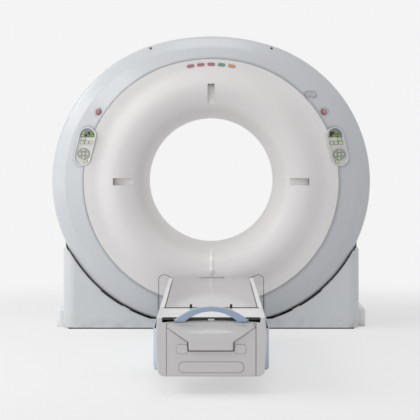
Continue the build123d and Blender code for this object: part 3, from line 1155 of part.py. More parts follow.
# Emergency buttons in their collars, and the call panel beside the right one
for side, sign in SIDES:
    with BuildPart() as estop_button:
        with BuildSketch(across(ESTOP_FACE_Y + ESTOP_HEAD_DEEP)):
            with Locations((sign * ESTOP_X, ESTOP_Z)):
                Circle(ESTOP_R)
        extrude(amount=ESTOP_HEAD_DEEP)
        fillet(estop_button.faces().sort_by(Axis.Y)[0].edges(), 2.5)
        with BuildSketch(across(COLLAR_FRONT_Y + COLLAR_DEEP)):
            with Locations((sign * ESTOP_X, ESTOP_Z)):
                Circle(ESTOP_STEM_R)
        extrude(amount=COLLAR_FRONT_Y + COLLAR_DEEP - ESTOP_FACE_Y - ESTOP_HEAD_DEEP)
    save(estop_button, f"estop_button_{side}")

CALL_DEEP, CALL_GROOVE_WIDE, CALL_GROOVE_DEEP = 26.0, 2.0, 1.5
with BuildPart() as call_panel:
    with BuildSketch(across(CALL_FACE_Y + CALL_DEEP)):
        with Locations((CALL_X, CALL_Z)):
            SlotOverall(CALL_LONG, CALL_WIDE)
    extrude(amount=CALL_DEEP)
    fillet(call_panel.faces().sort_by(Axis.Y)[0].edges(), 1.5)
    with BuildSketch(across(CALL_FACE_Y + CALL_GROOVE_DEEP)):
        with Locations((CALL_X, CALL_Z)):
            Rectangle(CALL_GROOVE_WIDE, 2 * CALL_WIDE)
    extrude(amount=CALL_GROOVE_DEEP + 1, mode=Mode.SUBTRACT)
save(call_panel, "call_panel")
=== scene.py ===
# %% [markdown]
# # A CT scanner, dressed on its CAD frame
# The scanner's shapes come from the CAD model. This notebook gives every piece its finish, adds the small
# things that a CAD model leaves out, and sets up a plain studio. Lengths are metres, +Z is up, and the
# bore runs along +Y, away from the camera.

# %% The tools and the frame
import math
from functools import partial
import bmesh
import bpy
from mathutils import Matrix, Vector
from mathutils.bvhtree import BVHTree


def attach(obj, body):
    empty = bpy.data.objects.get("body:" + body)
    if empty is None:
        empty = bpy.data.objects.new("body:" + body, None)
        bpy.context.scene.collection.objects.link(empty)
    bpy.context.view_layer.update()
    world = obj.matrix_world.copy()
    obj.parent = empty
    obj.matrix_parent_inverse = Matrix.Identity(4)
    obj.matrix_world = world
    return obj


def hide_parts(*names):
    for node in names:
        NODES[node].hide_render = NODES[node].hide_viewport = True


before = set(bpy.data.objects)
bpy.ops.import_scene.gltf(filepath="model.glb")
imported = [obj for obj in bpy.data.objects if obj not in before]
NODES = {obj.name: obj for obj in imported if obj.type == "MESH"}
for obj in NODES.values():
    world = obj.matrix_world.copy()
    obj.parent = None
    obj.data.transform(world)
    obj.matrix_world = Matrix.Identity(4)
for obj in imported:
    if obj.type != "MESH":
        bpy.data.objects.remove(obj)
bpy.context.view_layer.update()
print("pieces in the frame:", len(NODES))

# %% [markdown]
# ## Writing shader maths as sums
# A material is a graph of nodes, and every clouded or worn finish on the scanner needs some arithmetic in
# it. Math nodes could be wired by hand, one by one, but a sum of five terms then takes twenty lines. A
# small class wraps one output socket instead and turns +, - and * into Math nodes, so a sum reads like a
# sum.

# %% Wires
class Wire:
    """One output socket that can be used in sums."""

    def __init__(self, finish, socket):
        self.finish = finish
        self.socket = socket

    def sum(self, operation, *values):
        return self.finish.sum_of(operation, *values)

    def __add__(self, other):
        return self.sum("ADD", self, other)

    def __radd__(self, other):
        return self.sum("ADD", other, self)

    def __sub__(self, other):
        return self.sum("SUBTRACT", self, other)

    def __rsub__(self, other):
        return self.sum("SUBTRACT", other, self)

    def __mul__(self, other):
        return self.sum("MULTIPLY", self, other)

    def __rmul__(self, other):
        return self.sum("MULTIPLY", other, self)

    def between(self, low, high):
        """0 at low, 1 at high, smooth between them."""
        settings = {"interpolation_type": "SMOOTHSTEP"}
        inputs = {"Value": self, "From Min": low, "From Max": high}
        return self.finish.add("ShaderNodeMapRange", settings, inputs)


print("a wire adds, subtracts, multiplies and steps smoothly between two values")

# %% [markdown]
# ## One class for every finish
# The real covers are moulded, sprayed and handled, so no finish is a single flat value. Each material
# could be drawn in the node editor, but similar finishes would drift apart. Here one class holds a
# Principled shader, and its method `add` makes any node: its options first, then its inputs. The other
# methods name what a finish needs.

# %% Finishes
class Finish:
    """A material under construction, with its Principled shader."""

    def __init__(self, name):
        self.material = bpy.data.materials.new(name)
        self.material.use_nodes = True
        self.tree = self.material.node_tree
        self.tree.nodes.clear()
        self.shader = self.tree.nodes.new("ShaderNodeBsdfPrincipled")
        self.output = self.tree.nodes.new("ShaderNodeOutputMaterial")
        self.tree.links.new(self.shader.outputs[0], self.output.inputs[0])

    def fill(self, socket, value):
        if isinstance(value, Wire):
            self.tree.links.new(value.socket, socket)
        elif socket.type == "RGBA" and len(value) == 3:
            socket.default_value = (*value, 1)
        else:
            socket.default_value = value

    def add(self, kind, settings=None, *values, out=0):
        """A node of any kind, with its inputs in order, or by name or number from a dictionary."""
        node = self.tree.nodes.new(kind)
        for key, value in (settings or {}).items():
            setattr(node, key, value)
        if len(values) == 1 and isinstance(values[0], dict):
            for key, value in values[0].items():
                self.fill(node.inputs[key], value)
        else:
            for socket, value in zip(node.inputs, values):
                self.fill(socket, value)
        return Wire(self, node.outputs[out])

    def set(self, **values):
        """Fill the Principled shader's sockets, with _ for a space in a socket's name."""
        for key, value in values.items():
            self.fill(self.shader.inputs[key.replace("_", " ")], value)
        return self

    def sum_of(self, operation, *values):
        """A Math node of any operation."""
        return self.add("ShaderNodeMath", {"operation": operation}, *values)

    def place(self):
        """The position on the object, in metres."""
        return self.add("ShaderNodeTexCoord", out=3)

    def noise(self, scale, detail=2.0, stretch=(1, 1, 1), roughness=0.5):
        """Cloudy variation from 0 to 1; scale is in cycles per metre."""
        spot = self.add("ShaderNodeMapping", {}, {"Vector": self.place(), "Scale": stretch})
        inputs = {"Vector": spot, "Scale": scale, "Detail": detail, "Roughness": roughness}
        return self.add("ShaderNodeTexNoise", {}, inputs)

    def axis(self, name):
        """One coordinate of the position, in metres."""
        return self.add("ShaderNodeSeparateXYZ", {}, self.place(), out="XYZ".index(name))

    def mix(self, share, low, high):
        """A colour between two colours."""
        return self.add("ShaderNodeMix", {"data_type": "RGBA"}, {0: share, 6: low, 7: high}, out=2)

    def bumps(self, height, depth, strength=1.0, edge=0.0):
        """A bump, its depth in metres. Edges look rounded by a radius, if one is given."""
        inputs = {"Height": height, "Distance": depth, "Strength": strength}
        if edge:
            inputs["Normal"] = self.add("ShaderNodeBevel", {"samples": 4}, {"Radius": edge})
        return self.add("ShaderNodeBump", {}, inputs)


print("a finish has:", [name for name in vars(Finish) if not name.startswith("_")])

# %% [markdown]
# ## Putting a finish on a piece
# Each CAD piece is one mesh and gets one finish. Materials could be dragged onto the pieces in the
# viewport, but a list of names in the script can be read and changed. A second helper darkens a colour,
# which most finishes need for their darker patches.

# %% Dressing
def dress(finish, *names):
    """Give a finish to pieces of the frame."""
    for name in names:
        NODES[name].data.materials.clear()
        NODES[name].data.materials.append(finish.material)


def shade(colour, share):
    """A darker tone of a colour."""
    return tuple(part * share for part in colour)


print("pieces to dress:", len(NODES))

# %% [markdown]
# ## Lacquered covers
# The large covers are moulded shells with a satin lacquer. Such a lacquer is never one flat colour: it has
# a faint cloudiness, a fine orange-peel texture from spraying, and handling marks that change its gloss. A
# picture of paint could give that, but it would stretch over the ring. Noise at three very different
# scales needs no picture, and it looks plain from afar and real close up. Low covers gather dust towards
# the floor.

# %% Lacquer
CLOUD_SHADE, SPECK_SHADE, SPECK_SHARE = 0.955, 0.93, 0.25
DUST_COLOUR, DUST_SHARE, DUST_DULLING = (0.42, 0.41, 0.39), 0.5, 0.25
GLOSS_SWING, PEEL_DEPTH, PEEL_STRENGTH, COAT_ROUGHNESS = 0.10, 0.00035, 0.5, 0.18


def lacquer(name, colour, rough=0.36, coat=0.25, dust_height=None, edge=0.003):
    """Sprayed lacquer in a colour, with dust up to a height and edges rounded by a radius."""
    finish = Finish(name)
    clouds = finish.noise(1.3, 3).between(0.3, 0.7)
    tone = finish.mix(clouds, shade(colour, CLOUD_SHADE), colour)
    speck = finish.noise(90, 3).between(0.62, 0.8)
    tone = finish.mix(speck * SPECK_SHARE, tone, shade(colour, SPECK_SHADE))
    wipe = finish.noise(7, 4, stretch=(1, 1, 0.35))
    roughness = rough + (wipe - 0.5) * GLOSS_SWING
    if dust_height:
        low_down = 1 - finish.axis("Z").between(0.0, dust_height)
        dust = low_down * finish.noise(16, 5).between(0.35, 0.75)
        tone = finish.mix(dust * DUST_SHARE, tone, DUST_COLOUR)
        roughness = roughness + dust * DUST_DULLING
    peel = finish.bumps(finish.noise(330, 2), PEEL_DEPTH, PEEL_STRENGTH, edge)
    finish.set(Base_Color=tone, Roughness=roughness, Normal=peel)
    return finish.set(Coat_Weight=coat, Coat_Roughness=COAT_ROUGHNESS)


print("lacquer peel depth:", PEEL_DEPTH * 1000, "mm")

# %% [markdown]
# ## Which cover gets which lacquer
# Seen side by side, the ring is a cool grey, the funnel a warm white and the couch a greyer white; its
# skirt and handle are pale blue. One colour for all would be simpler, but the photograph tells them apart.
# The ring's shoulder is rolled, so its edges look rounded by a much larger radius than those of the other
# covers.

# %% Lacquer on the covers
cool_grey = lacquer("cool grey lacquer", (0.615, 0.635, 0.66), rough=0.33, coat=0.5, edge=0.028)
shell_grey = lacquer("shell grey lacquer", (0.615, 0.635, 0.66), rough=0.33, coat=0.5)
warm_white = lacquer("warm white lacquer", (0.825, 0.80, 0.80), rough=0.45, coat=0.12, edge=0.006)
cradle_grey = lacquer("cradle grey lacquer", (0.66, 0.68, 0.695), rough=0.42, coat=0.15, dust_height=0.12)
couch_white = lacquer("couch white moulding", (0.66, 0.645, 0.645), rough=0.36, coat=0.8, edge=0.006)
rail_white = lacquer("rail white moulding", (0.80, 0.785, 0.785), rough=0.4, coat=0.2, edge=0.006)
skirt_blue = lacquer("skirt blue moulding", (0.50, 0.60, 0.70), rough=0.45, dust_height=0.10)
handle_blue = lacquer("handle blue moulding", (0.34, 0.45, 0.60), rough=0.36, coat=0.4, edge=0.006)
foot_white = lacquer("foot cover lacquer", (0.83, 0.84, 0.845), rough=0.42, dust_height=0.06)
bead_white = lacquer("bead white", (0.93, 0.92, 0.915), rough=0.3, coat=0.4)
dress(cool_grey, "front_ring_cover", "service_panel_ring")
dress(shell_grey, "body_shell", "rear_cover")
dress(warm_white, "front_funnel", "service_panel_funnel", "rear_funnel")
dress(bead_white, "funnel_bead")
dress(cradle_grey, "cradle_cover_left", "cradle_cover_right", "stand_covers")
dress(foot_white, "foot_covers")
dress(couch_white, "couch_end_shell", "couch_end_panel", "couch_nose_cover", "couch_end_caps")
dress(rail_white, "couch_rails")
dress(skirt_blue, "couch_skirt")
dress(handle_blue, "couch_handle")
print("finishes so far:", len(bpy.data.materials))

# %% [markdown]
# ## Tabletop gelcoat
# The tabletop is a carbon-fibre shell with a glossy gelcoat, because it has to be wiped clean. The mirror
# image of the gantry in it could be painted on, but it would stay behind when the view turns. A low
# roughness gives a true mirror image, and noise stretched along the table gives the wipe marks.

# %% Gelcoat
gelcoat = Finish("tabletop gelcoat")
wipes = gelcoat.noise(22, 4, stretch=(1, 0.06, 1))
cloud = gelcoat.noise(2.5, 3)
gelcoat.set(
    Base_Color=gelcoat.mix(cloud, (0.30, 0.29, 0.30), (0.34, 0.33, 0.34)),
    Roughness=0.07 + wipes * 0.07,
    Normal=gelcoat.bumps(gelcoat.noise(60, 2), 0.0002, 0.3),
    Coat_Weight=0.08,
    Coat_Roughness=0.04,
)
dress(gelcoat, "tabletop")
print("gelcoat nodes:", len(gelcoat.tree.nodes))

# %% [markdown]
# ## Metals, rubber and lenses
# The frames inside are painted steel with worn chips, where bare metal shows. Bearings and tracks are
# turned, so fine lines run along them, and rubber is dark and dull. Scratches could be modelled, but
# nobody sees them from across the room: a noise that is stretched along the tool's path does the same in a
# few nodes.

# %% Workshop finishes
WORN_STEEL = (0.45, 0.44, 0.43)


def painted_steel(name, colour):
    """Workshop paint with chips down to the steel."""
    finish = Finish(name)
    worn = finish.noise(38, 6).between(0.66, 0.74)
    tone = finish.mix(finish.noise(5, 3), shade(colour, 0.85), colour)
    finish.set(
        Base_Color=finish.mix(worn, tone, WORN_STEEL),
        Roughness=0.5 - worn * 0.2,
        Metallic=worn * 0.9,
        Normal=finish.bumps(finish.noise(160, 3), 0.0006, 0.5),
    )
    return finish


def bare_metal(name, colour, grain, rough=0.25):
    """Machined metal whose lines run along the grain."""
    finish = Finish(name)
    lines = finish.noise(240, 3, stretch=grain)
    finish.set(
        Base_Color=finish.mix(lines, shade(colour, 0.8), colour),
        Metallic=1.0,
        Roughness=rough + lines * 0.15,
        Normal=finish.bumps(lines, 0.0001, 0.4),
    )
    return finish


def dull_plastic(name, colour, rough=0.6):
    """Plastic or rubber with a fine grain."""
    finish = Finish(name)
    grain = finish.noise(420, 3)
    finish.set(
        Base_Color=finish.mix(finish.noise(9, 4), shade(colour, 0.82), colour),
        Roughness=rough - 0.08 + grain * 0.16,
        Normal=finish.bumps(grain, 0.0003, 0.5),
    )
    return finish


print("workshop finishes: painted steel, bare metal, dull plastic")

# %% [markdown]
# ## Frames, bearings and seals
# Each group of inner pieces has its own paint or metal, so that one can tell them apart when the covers
# open. A table from finish to pieces keeps the list short, and the drum's grain runs round where it was
# turned.

# %% Inner pieces
INNER = {
    painted_steel("frame paint", (0.17, 0.19, 0.21)): ("base_frame", "floor_plate", "couch_base_frame"),
    painted_steel("lift paint", (0.30, 0.31, 0.33)): (
        "lift_arms_outer", "lift_arms_inner", "couch_upper_frame",
    ),
    painted_steel("tilt frame paint", (0.22, 0.25, 0.28)): ("tilt_frame",),
    painted_steel("module paint", (0.36, 0.38, 0.40)): (
        "voltage_generator", "heat_exchanger", "rotor_control_unit",
    ),
    painted_steel("tube housing paint", (0.50, 0.50, 0.48)): ("xray_tube", "detector", "brush_block"),
    bare_metal("ground steel", (0.62, 0.62, 0.63), (1, 0.1, 1)): ("bearing_race", "trunnion_bearings"),
    bare_metal("cast aluminium", (0.66, 0.67, 0.68), (0.4, 1, 0.4), 0.38): ("rotor_drum",),
    bare_metal("brass tracks", (0.78, 0.60, 0.30), (1, 0.1, 1)): ("slip_ring",),
    dull_plastic("seal rubber", (0.040, 0.055, 0.050), 0.7): ("cradle_seals",),
    dull_plastic("post plastic", (0.035, 0.022, 0.020), 0.45): ("strap_posts",),
}
for inner_finish, names in INNER.items():
    dress(inner_finish, *names)
print("inner finishes:", len(INNER))

# %% [markdown]
# ## Laser windows and the scan window
# The laser windows are dark acrylic that the positioning lines shine through, and the scan window is a
# ring of pale plastic film in the bore. Both could be see-through, but nothing worth seeing lies behind
# them, so they are glossy solids with a faint cloud in their tone.

# %% Windows
dark_glass = Finish("laser window")
dark_glass.set(
    Base_Color=dark_glass.mix(dark_glass.noise(30, 2), (0.10, 0.07, 0.06), (0.16, 0.12, 0.10)),
    Roughness=0.08 + dark_glass.noise(80, 3) * 0.06,
    Coat_Weight=0.5,
)
dress(dark_glass, "laser_windows")

film = Finish("scan window film")
film.set(
    Base_Color=film.mix(film.noise(6, 2), (0.70, 0.70, 0.69), (0.76, 0.76, 0.75)),
    Roughness=0.25 + film.noise(50, 3) * 0.08,
)
dress(film, "scan_window")
print("windows:", dark_glass.material.name, "and", film.material.name)

# %% [markdown]
# ## Control panels
# Each panel is a pale bezel round a recessed plate, with a dark display head on top. The bezel and its
# plate are one CAD piece. Its faces could be sorted into two materials, but a colour that depends on the
# depth behind the panel's face needs no sorting. Both panels lean outwards by the same angle, and with the
# absolute value of X one sum gives the depth on either side.

# %% Panel finishes
LEAN_OUT = math.radians(12)
PANEL_X, PANEL_Y, PANEL_Z = 0.884, -0.411, 1.286
PLATE_DEPTH, HEAD_DEPTH, WINDOW_DEPTH, KEY_DEPTH, PAD_DEPTH = 0.0060, 0.0035, 0.0041, 0.0025, 0.0040
PLATE_STEP, WINDOW_STEP, PAD_STEP, STEP_HALF = 0.0055, 0.0038, 0.0032, 0.0001


def panel_depth(finish):
    """How far a place lies behind the panel's face, in metres."""
    aside = finish.sum_of("ABSOLUTE", finish.axis("X"))
    return (finish.axis("Y") - PANEL_Y) * math.cos(LEAN_OUT) - (aside - PANEL_X) * math.sin(LEAN_OUT)


def two_depths(name, front, behind, step, rough=0.42):
    """A moulding with one colour in front of a depth and another behind it."""
    finish = lacquer(name, front, rough=rough, coat=0.2)
    deep = panel_depth(finish)
    low = finish.mix(finish.noise(40, 3), shade(behind, 0.94), behind)
    high = finish.mix(finish.noise(40, 3), shade(front, 0.96), front)
    past_step = deep.between(step - STEP_HALF, step + STEP_HALF)
    return finish.set(Base_Color=finish.mix(past_step, high, low))


BEZEL, PLATE = (0.74, 0.745, 0.75), (0.68, 0.675, 0.64)
HEAD, BLACK, CORNER = (0.27, 0.275, 0.275), (0.006, 0.008, 0.006), (0.19, 0.20, 0.205)
PAD_CAP, PAD_RING = (0.50, 0.51, 0.52), (0.37, 0.38, 0.39)
KEY_NAMES = ("top", "first", "middle", "last", "low")
bezel_and_plate = two_depths("panel bezel and plate", BEZEL, PLATE, PLATE_STEP)
keycap = lacquer("keycaps", (0.62, 0.62, 0.605), rough=0.45, coat=0.1, edge=0.0)
dress(bezel_and_plate, "control_panel_left", "control_panel_right")
dress(two_depths("display head", HEAD, BLACK, WINDOW_STEP, 0.3), "panel_displays")
dress(two_depths("round pad", PAD_CAP, PAD_RING, PAD_STEP), "pad_left", "pad_right")
dress(keycap, *[f"key_{side}_{name}" for side in ("left", "right") for name in KEY_NAMES])
dress(lacquer("call panel moulding", (0.50, 0.505, 0.53), rough=0.35, coat=0.3), "call_panel")
print("panels lean out by", round(math.degrees(LEAN_OUT)), "degrees")

# %% [markdown]
# ## Emergency buttons
# A mushroom button is a turned dome of glossy red plastic, and its paler middle is a painted highlight.
# The painted highlight could be a piece of its own, but it is only a tone: the distance from the button's
# axis picks it, with the absolute value of X again, since the buttons sit at the same height.

# %% Red buttons
ESTOP_X, ESTOP_Z = 0.792, 1.531
# The palest red is a painted highlight in the middle of each button.
HIGHLIGHT_RED, INNER_RED, RIM_RED = (0.62, 0.30, 0.31), (0.52, 0.16, 0.17), (0.33, 0.02, 0.03)
red_button = Finish("emergency button")
aside = red_button.sum_of("ABSOLUTE", red_button.axis("X")) - ESTOP_X
above = red_button.axis("Z") - ESTOP_Z
from_axis = red_button.sum_of("SQRT", aside * aside + above * above)
HIGHLIGHT_ENDS, INNER_ENDS = (0.003, 0.008), (0.011, 0.016)
rim = red_button.mix(from_axis.between(*INNER_ENDS), INNER_RED, RIM_RED)
red_button.set(
    Base_Color=red_button.mix(from_axis.between(*HIGHLIGHT_ENDS), HIGHLIGHT_RED, rim),
    Roughness=0.22 + red_button.noise(150, 2) * 0.1,
    Coat_Weight=0.7,
)
dress(red_button, "estop_button_left", "estop_button_right")
print("red buttons at x =", ESTOP_X, "and z =", ESTOP_Z)

# %% [markdown]
# ## Prisms on flat outlines
# Marks, collars and floor strips are all the same kind of thing: a flat outline with a little thickness.
# They could be extruded by hand, one at a time. A function makes the two faces and the sides from any
# outline, and the function handed to it says where the outline's plane lies. Every new piece is put on the
# body that it moves with.

# %% Prisms
def link(name, mesh, finish, body):
    """Put a finished mesh into the scene on one of the bodies."""
    mesh.materials.clear()
    mesh.materials.append(finish.material)
    obj = bpy.data.objects.new(name, mesh)
    bpy.context.scene.collection.objects.link(obj)
    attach(obj, body)
    return obj


def closed_mesh(name, form):
    """A mesh from a finished form, with its faces turned outwards."""
    bmesh.ops.recalc_face_normals(form, faces=form.faces)
    mesh = bpy.data.meshes.new(name)
    form.to_mesh(mesh)
    form.free()
    return mesh


def raised(name, outlines, place, low, high, finish, body):
    """Prisms on flat outlines, between two depths. `place` turns (across, up, depth) into a point."""
    form = bmesh.new()
    for outline in outlines:
        under = [form.verts.new(place(u, v, low)) for u, v in outline]
        over = [form.verts.new(place(u, v, high)) for u, v in outline]
        form.faces.new(under)
        form.faces.new(over)
        for n in range(len(outline)):
            form.faces.new((under[n - 1], under[n], over[n], over[n - 1]))
    return link(name, closed_mesh(name, form), finish, body)


# %% [markdown]
# ## Outlines in a panel's own plane
# The marks on keys and displays are printed or moulded on the real panel. A picture could carry them, but
# it would blur close up. Each mark is drawn in millimetres as if the panel lay flat, and one function
# turns right, up and depth into a place on the leaning panel.

# %% Flat outlines
def panel_spot(sign, right, up, depth):
    """A place on one control panel: to the right, up, and behind its face."""
    outward = Vector((sign * math.sin(LEAN_OUT), -math.cos(LEAN_OUT), 0))
    across = Vector((math.cos(LEAN_OUT), sign * math.sin(LEAN_OUT), 0))
    return Vector((sign * PANEL_X, PANEL_Y, PANEL_Z + up)) + across * right - outward * depth


def shifted(outline, right, up):
    """An outline in millimetres moved to a place in millimetres, in metres."""
    return [((u + right) / 1000, (v + up) / 1000) for u, v in outline]


def regular(sides, radius, start=0.0):
    """A regular outline: a disc with many sides, an arrow with three."""
    turns = [math.radians(start + 360 * n / sides) for n in range(sides)]
    return [(radius * math.cos(t), radius * math.sin(t)) for t in turns]


def bar(width, height):
    """A rectangle about its centre."""
    right, top = width / 2, height / 2
    return [(-right, -top), (right, -top), (right, top), (-right, top)]


def collar(right, up, width, height, thick):
    """Four bars round an opening, all in millimetres, for the painted shade round a key or a pad cap."""
    reach, rise = (width + thick) / 2, (height + thick) / 2
    flat, tall = bar(width + 2 * thick, thick), bar(thick, height)
    return [
        shifted(flat, right, up + rise),
        shifted(flat, right, up - rise),
        shifted(tall, right + reach, up),
        shifted(tall, right - reach, up),
    ]


print("a collar has", len(collar(0, 0, 1, 1, 1)), "bars")

# %% [markdown]
# ## Digits from seven segments
# The displays show numbers made of seven short bars each, as on the real thing. A font would work too, but
# its letters have far more corners and don't look like a display. A string of ones and noughts says which
# bars are lit. The readings are made up.

# %% Digits
LYING, STANDING, DIGIT_PITCH = bar(5.4, 1.7), bar(1.7, 4.6), 11.5
# From top to bottom: top, upper left, upper right, middle, lower left, lower right, bottom
SEGMENTS = [
    (LYING, 0, 5.5), (STANDING, -3, 2.75), (STANDING, 3, 2.75), (LYING, 0, 0),
    (STANDING, -3, -2.75), (STANDING, 3, -2.75), (LYING, 0, -5.5),
]
LIT = {
    "0": "1110111", "1": "0010010", "2": "1011101", "3": "1011011",
    "4": "0111010", "5": "1101011", "7": "1010010",
}


def digits(reading, right, up):
    """Seven-segment outlines for a row of digits that ends at a place."""
    shapes = []
    for n, digit in enumerate(reversed(reading)):
        for (shape, u, v), on in zip(SEGMENTS, LIT[digit]):
            if on == "1":
                shapes.append(shifted(shape, right - n * DIGIT_PITCH + u, up + v))
    return shapes


def glowing(name, colour, strength):
    """A lit mark: an even colour with a little light of its own."""
    finish = Finish(name)
    finish.set(
        Base_Color=finish.mix(finish.noise(300, 2), shade(colour, 0.8), colour),
        Roughness=0.4 + finish.noise(200, 2) * 0.1,
        Emission_Color=(*colour, 1),
        Emission_Strength=strength,
    )
    return finish


digit_green = glowing("digit green", (0.30, 0.58, 0.015), 0.95)
led_yellow = glowing("lamp yellow", (0.66, 0.70, 0.04), 0.55)
# The key and pad marks are green print; their glow is painted light.
print_green_with_painted_glow = glowing("mark green", (0.42, 0.66, 0.05), 0.3)
print("bars lit in an 8-shaped digit:", len(SEGMENTS))

# %% [markdown]
# ## Marks, lamps and painted shade on both panels
# Every key has a green shape on its cap and every pad cap an arrow: green print with a painted glow. A
# dark frame round every key and every pad cap is painted shade. They could all ride on the gantry, but
# then a key would go in without its mark. So marks on a key ride on that key's body, and the pad's frames on
# the pad's.

# %% Panel marks
# Dark frames round the keys and the pad's caps are painted shade.
painted_shade_grey = dull_plastic("painted shade round keys", (0.26, 0.255, 0.25), 0.55)
corner_grey = two_depths("window corner", CORNER, CORNER, WINDOW_STEP, 0.3)
HAIR, LAMP_RISE, SHADE_FRAME_RISE, SHADE_CREASE_RISE = 0.0002, 0.001, 0.0012, 0.0006
KEY_OPENING, SHADE_FRAME_WIDE, CAP_SIZE, SHADE_CREASE_WIDE = (27, 20), 2.0, (20.6, 20.6), 1.4
ARROWS = {(0, 27): 90, (0, -27): 270, (-27, 0): 180, (27, 0): 0}
KEY_PLACES = {
    "left": {"top": (-11, 55), "first": (-21, 29), "middle": (12, 29), "last": (44, 29), "low": (3, -104)},
    "right": {"top": (16, 51), "first": (-41, 26), "middle": (-9, 26), "last": (24, 26), "low": (-1, -106)},
}
PAD_PLACES = {"left": (-10, -50), "right": (14, -55)}
LED_PLACES = {"left": ((-11, 98), (-17, 79)), "right": ((-62, 92), (-64, 77))}
WINDOWS = {"left": (34, 87, -1, "024", 66, "31052"), "right": (-17, 86, 1, "130", 1, "20475")}
KEY_MARKS = {
    "top": regular(20, 6), "first": regular(3, 8.5, 90), "middle": bar(9, 9), "last": regular(3, 8.5, 270),
}
LOW_MARK, ROW_RISE, ROW_END, CORNER_SHIFT, CORNER_RISE = bar(14, 6), 9, 32, 26.5, 9.25
for side, sign in (("left", -1), ("right", 1)):
    on_panel = partial(panel_spot, sign)
    middle, high, blank, upper, upper_end, lower = WINDOWS[side]
    rows = digits(upper, upper_end, high + ROW_RISE) + digits(lower, middle + ROW_END, high - ROW_RISE)
    raised(f"digits_{side}", rows, on_panel, WINDOW_DEPTH, WINDOW_DEPTH - HAIR, digit_green, "gantry")
    corner = [shifted(bar(25, 17.5), middle + CORNER_SHIFT * blank, high + CORNER_RISE)]
    raised(f"window_corner_{side}", corner, on_panel, WINDOW_DEPTH, HEAD_DEPTH, corner_grey, "gantry")
    leds = [shifted(regular(16, 3.6), u, v) for u, v in LED_PLACES[side]]
    raised(f"panel_lamps_{side}", leds, on_panel, HEAD_DEPTH, HEAD_DEPTH - LAMP_RISE, led_yellow, "gantry")
    for name, (u, v) in KEY_PLACES[side].items():
        mark = [shifted(KEY_MARKS.get(name, LOW_MARK), u, v)]
        node = f"key_{side}_{name}"
        raised(f"mark_on_{node}", mark, on_panel, KEY_DEPTH, KEY_DEPTH - HAIR, print_green_with_painted_glow, node)
    shade_frames = []
    for u, v in KEY_PLACES[side].values():
        shade_frames += collar(u, v, *KEY_OPENING, SHADE_FRAME_WIDE)
    top = PLATE_DEPTH - SHADE_FRAME_RISE
    raised(f"key_collars_{side}", shade_frames, on_panel, PLATE_DEPTH, top, painted_shade_grey, "gantry")
    pad, (u, v) = f"pad_{side}", PAD_PLACES[side]
    shade_creases = []
    for du, dv in ((0, 0), *ARROWS):
        shade_creases += collar(u + du, v + dv, *CAP_SIZE, SHADE_CREASE_WIDE)
    raised(f"pad_creases_{side}", shade_creases, on_panel, PAD_DEPTH, PAD_DEPTH - SHADE_CREASE_RISE, painted_shade_grey, pad)
    arrows = [shifted(regular(3, 8, turn), u + du, v + dv) for (du, dv), turn in ARROWS.items()]
    arrows.append(shifted(bar(8, 8), u, v))
    raised(f"marks_on_pad_{side}", arrows, on_panel, KEY_DEPTH, KEY_DEPTH - HAIR, print_green_with_painted_glow, pad)
    print(side, "panel:", len(rows), "lit bars,", len(shade_frames), "shade frame bars")

# %% [markdown]
# ## The nose cover's outline and slope
# The cover over the couch's foot end bulges most low down and leans back towards the slot, so it catches
# the light in a soft band. CAD keeps it flat. A curve could be pulled into shape in the viewport, but a
# few stops in a table are easier to fit to the photo. One function reads off the sides and the lean
# between stops.

# %% Nose cover's numbers
COUCH_FOOT = -3.187
NOSE_LOW, NOSE_WAIST, NOSE_SHOULDER, NOSE_TOP = 0.234, 0.279, 0.355, 0.378
NOSE_LEFT = {NOSE_LOW: -0.118, NOSE_WAIST: -0.121, NOSE_SHOULDER: -0.234, NOSE_TOP: -0.230}
NOSE_RIGHT = {NOSE_LOW: 0.116, NOSE_WAIST: 0.118, NOSE_SHOULDER: 0.232, NOSE_TOP: 0.228}
NOSE_OUT, NOSE_RIM, NOSE_ARCH, SLOT_HALF = 0.0262, 0.007, 0.0095, 0.257
NOSE_STEP, NOSE_THIN, NOSE_BACK, NOSE_CHEEK = 0.0015, 0.0012, 0.0004, 0.35
NOSE_SLOPES = {0.0: 0.0, 0.292: 0.0, 0.312: 0.26, 0.332: 0.58, 0.350: 0.44, 0.378: 0.04}


def read_off(stops, place):
    """A value between two stops of a table, on a straight line."""
    keys = sorted(stops)
    for low, high in zip(keys, keys[1:]):
        if place <= high:
            return stops[low] + (stops[high] - stops[low]) * (place - low) / (high - low)
    return stops[keys[-1]]


def nose_lean(z, steps=24):
    """How far the cover has leant back from its fullest height, from its slopes."""
    run = (z - NOSE_LOW) / steps
    return sum(read_off(NOSE_SLOPES, NOSE_LOW + run * (n + 0.5)) for n in range(steps)) * run


print("the cover leans back by", round(nose_lean(NOSE_TOP) * 1000, 1), "mm")

# %% [markdown]
# ## The nose cover's grid
# Bending the flat CAD piece would also bend its corners. So this is a new grid of rows over the same
# outline, pushed out by a height that depends on the place, with its rim rounded off and its back closed.
# It takes the CAD piece's place.

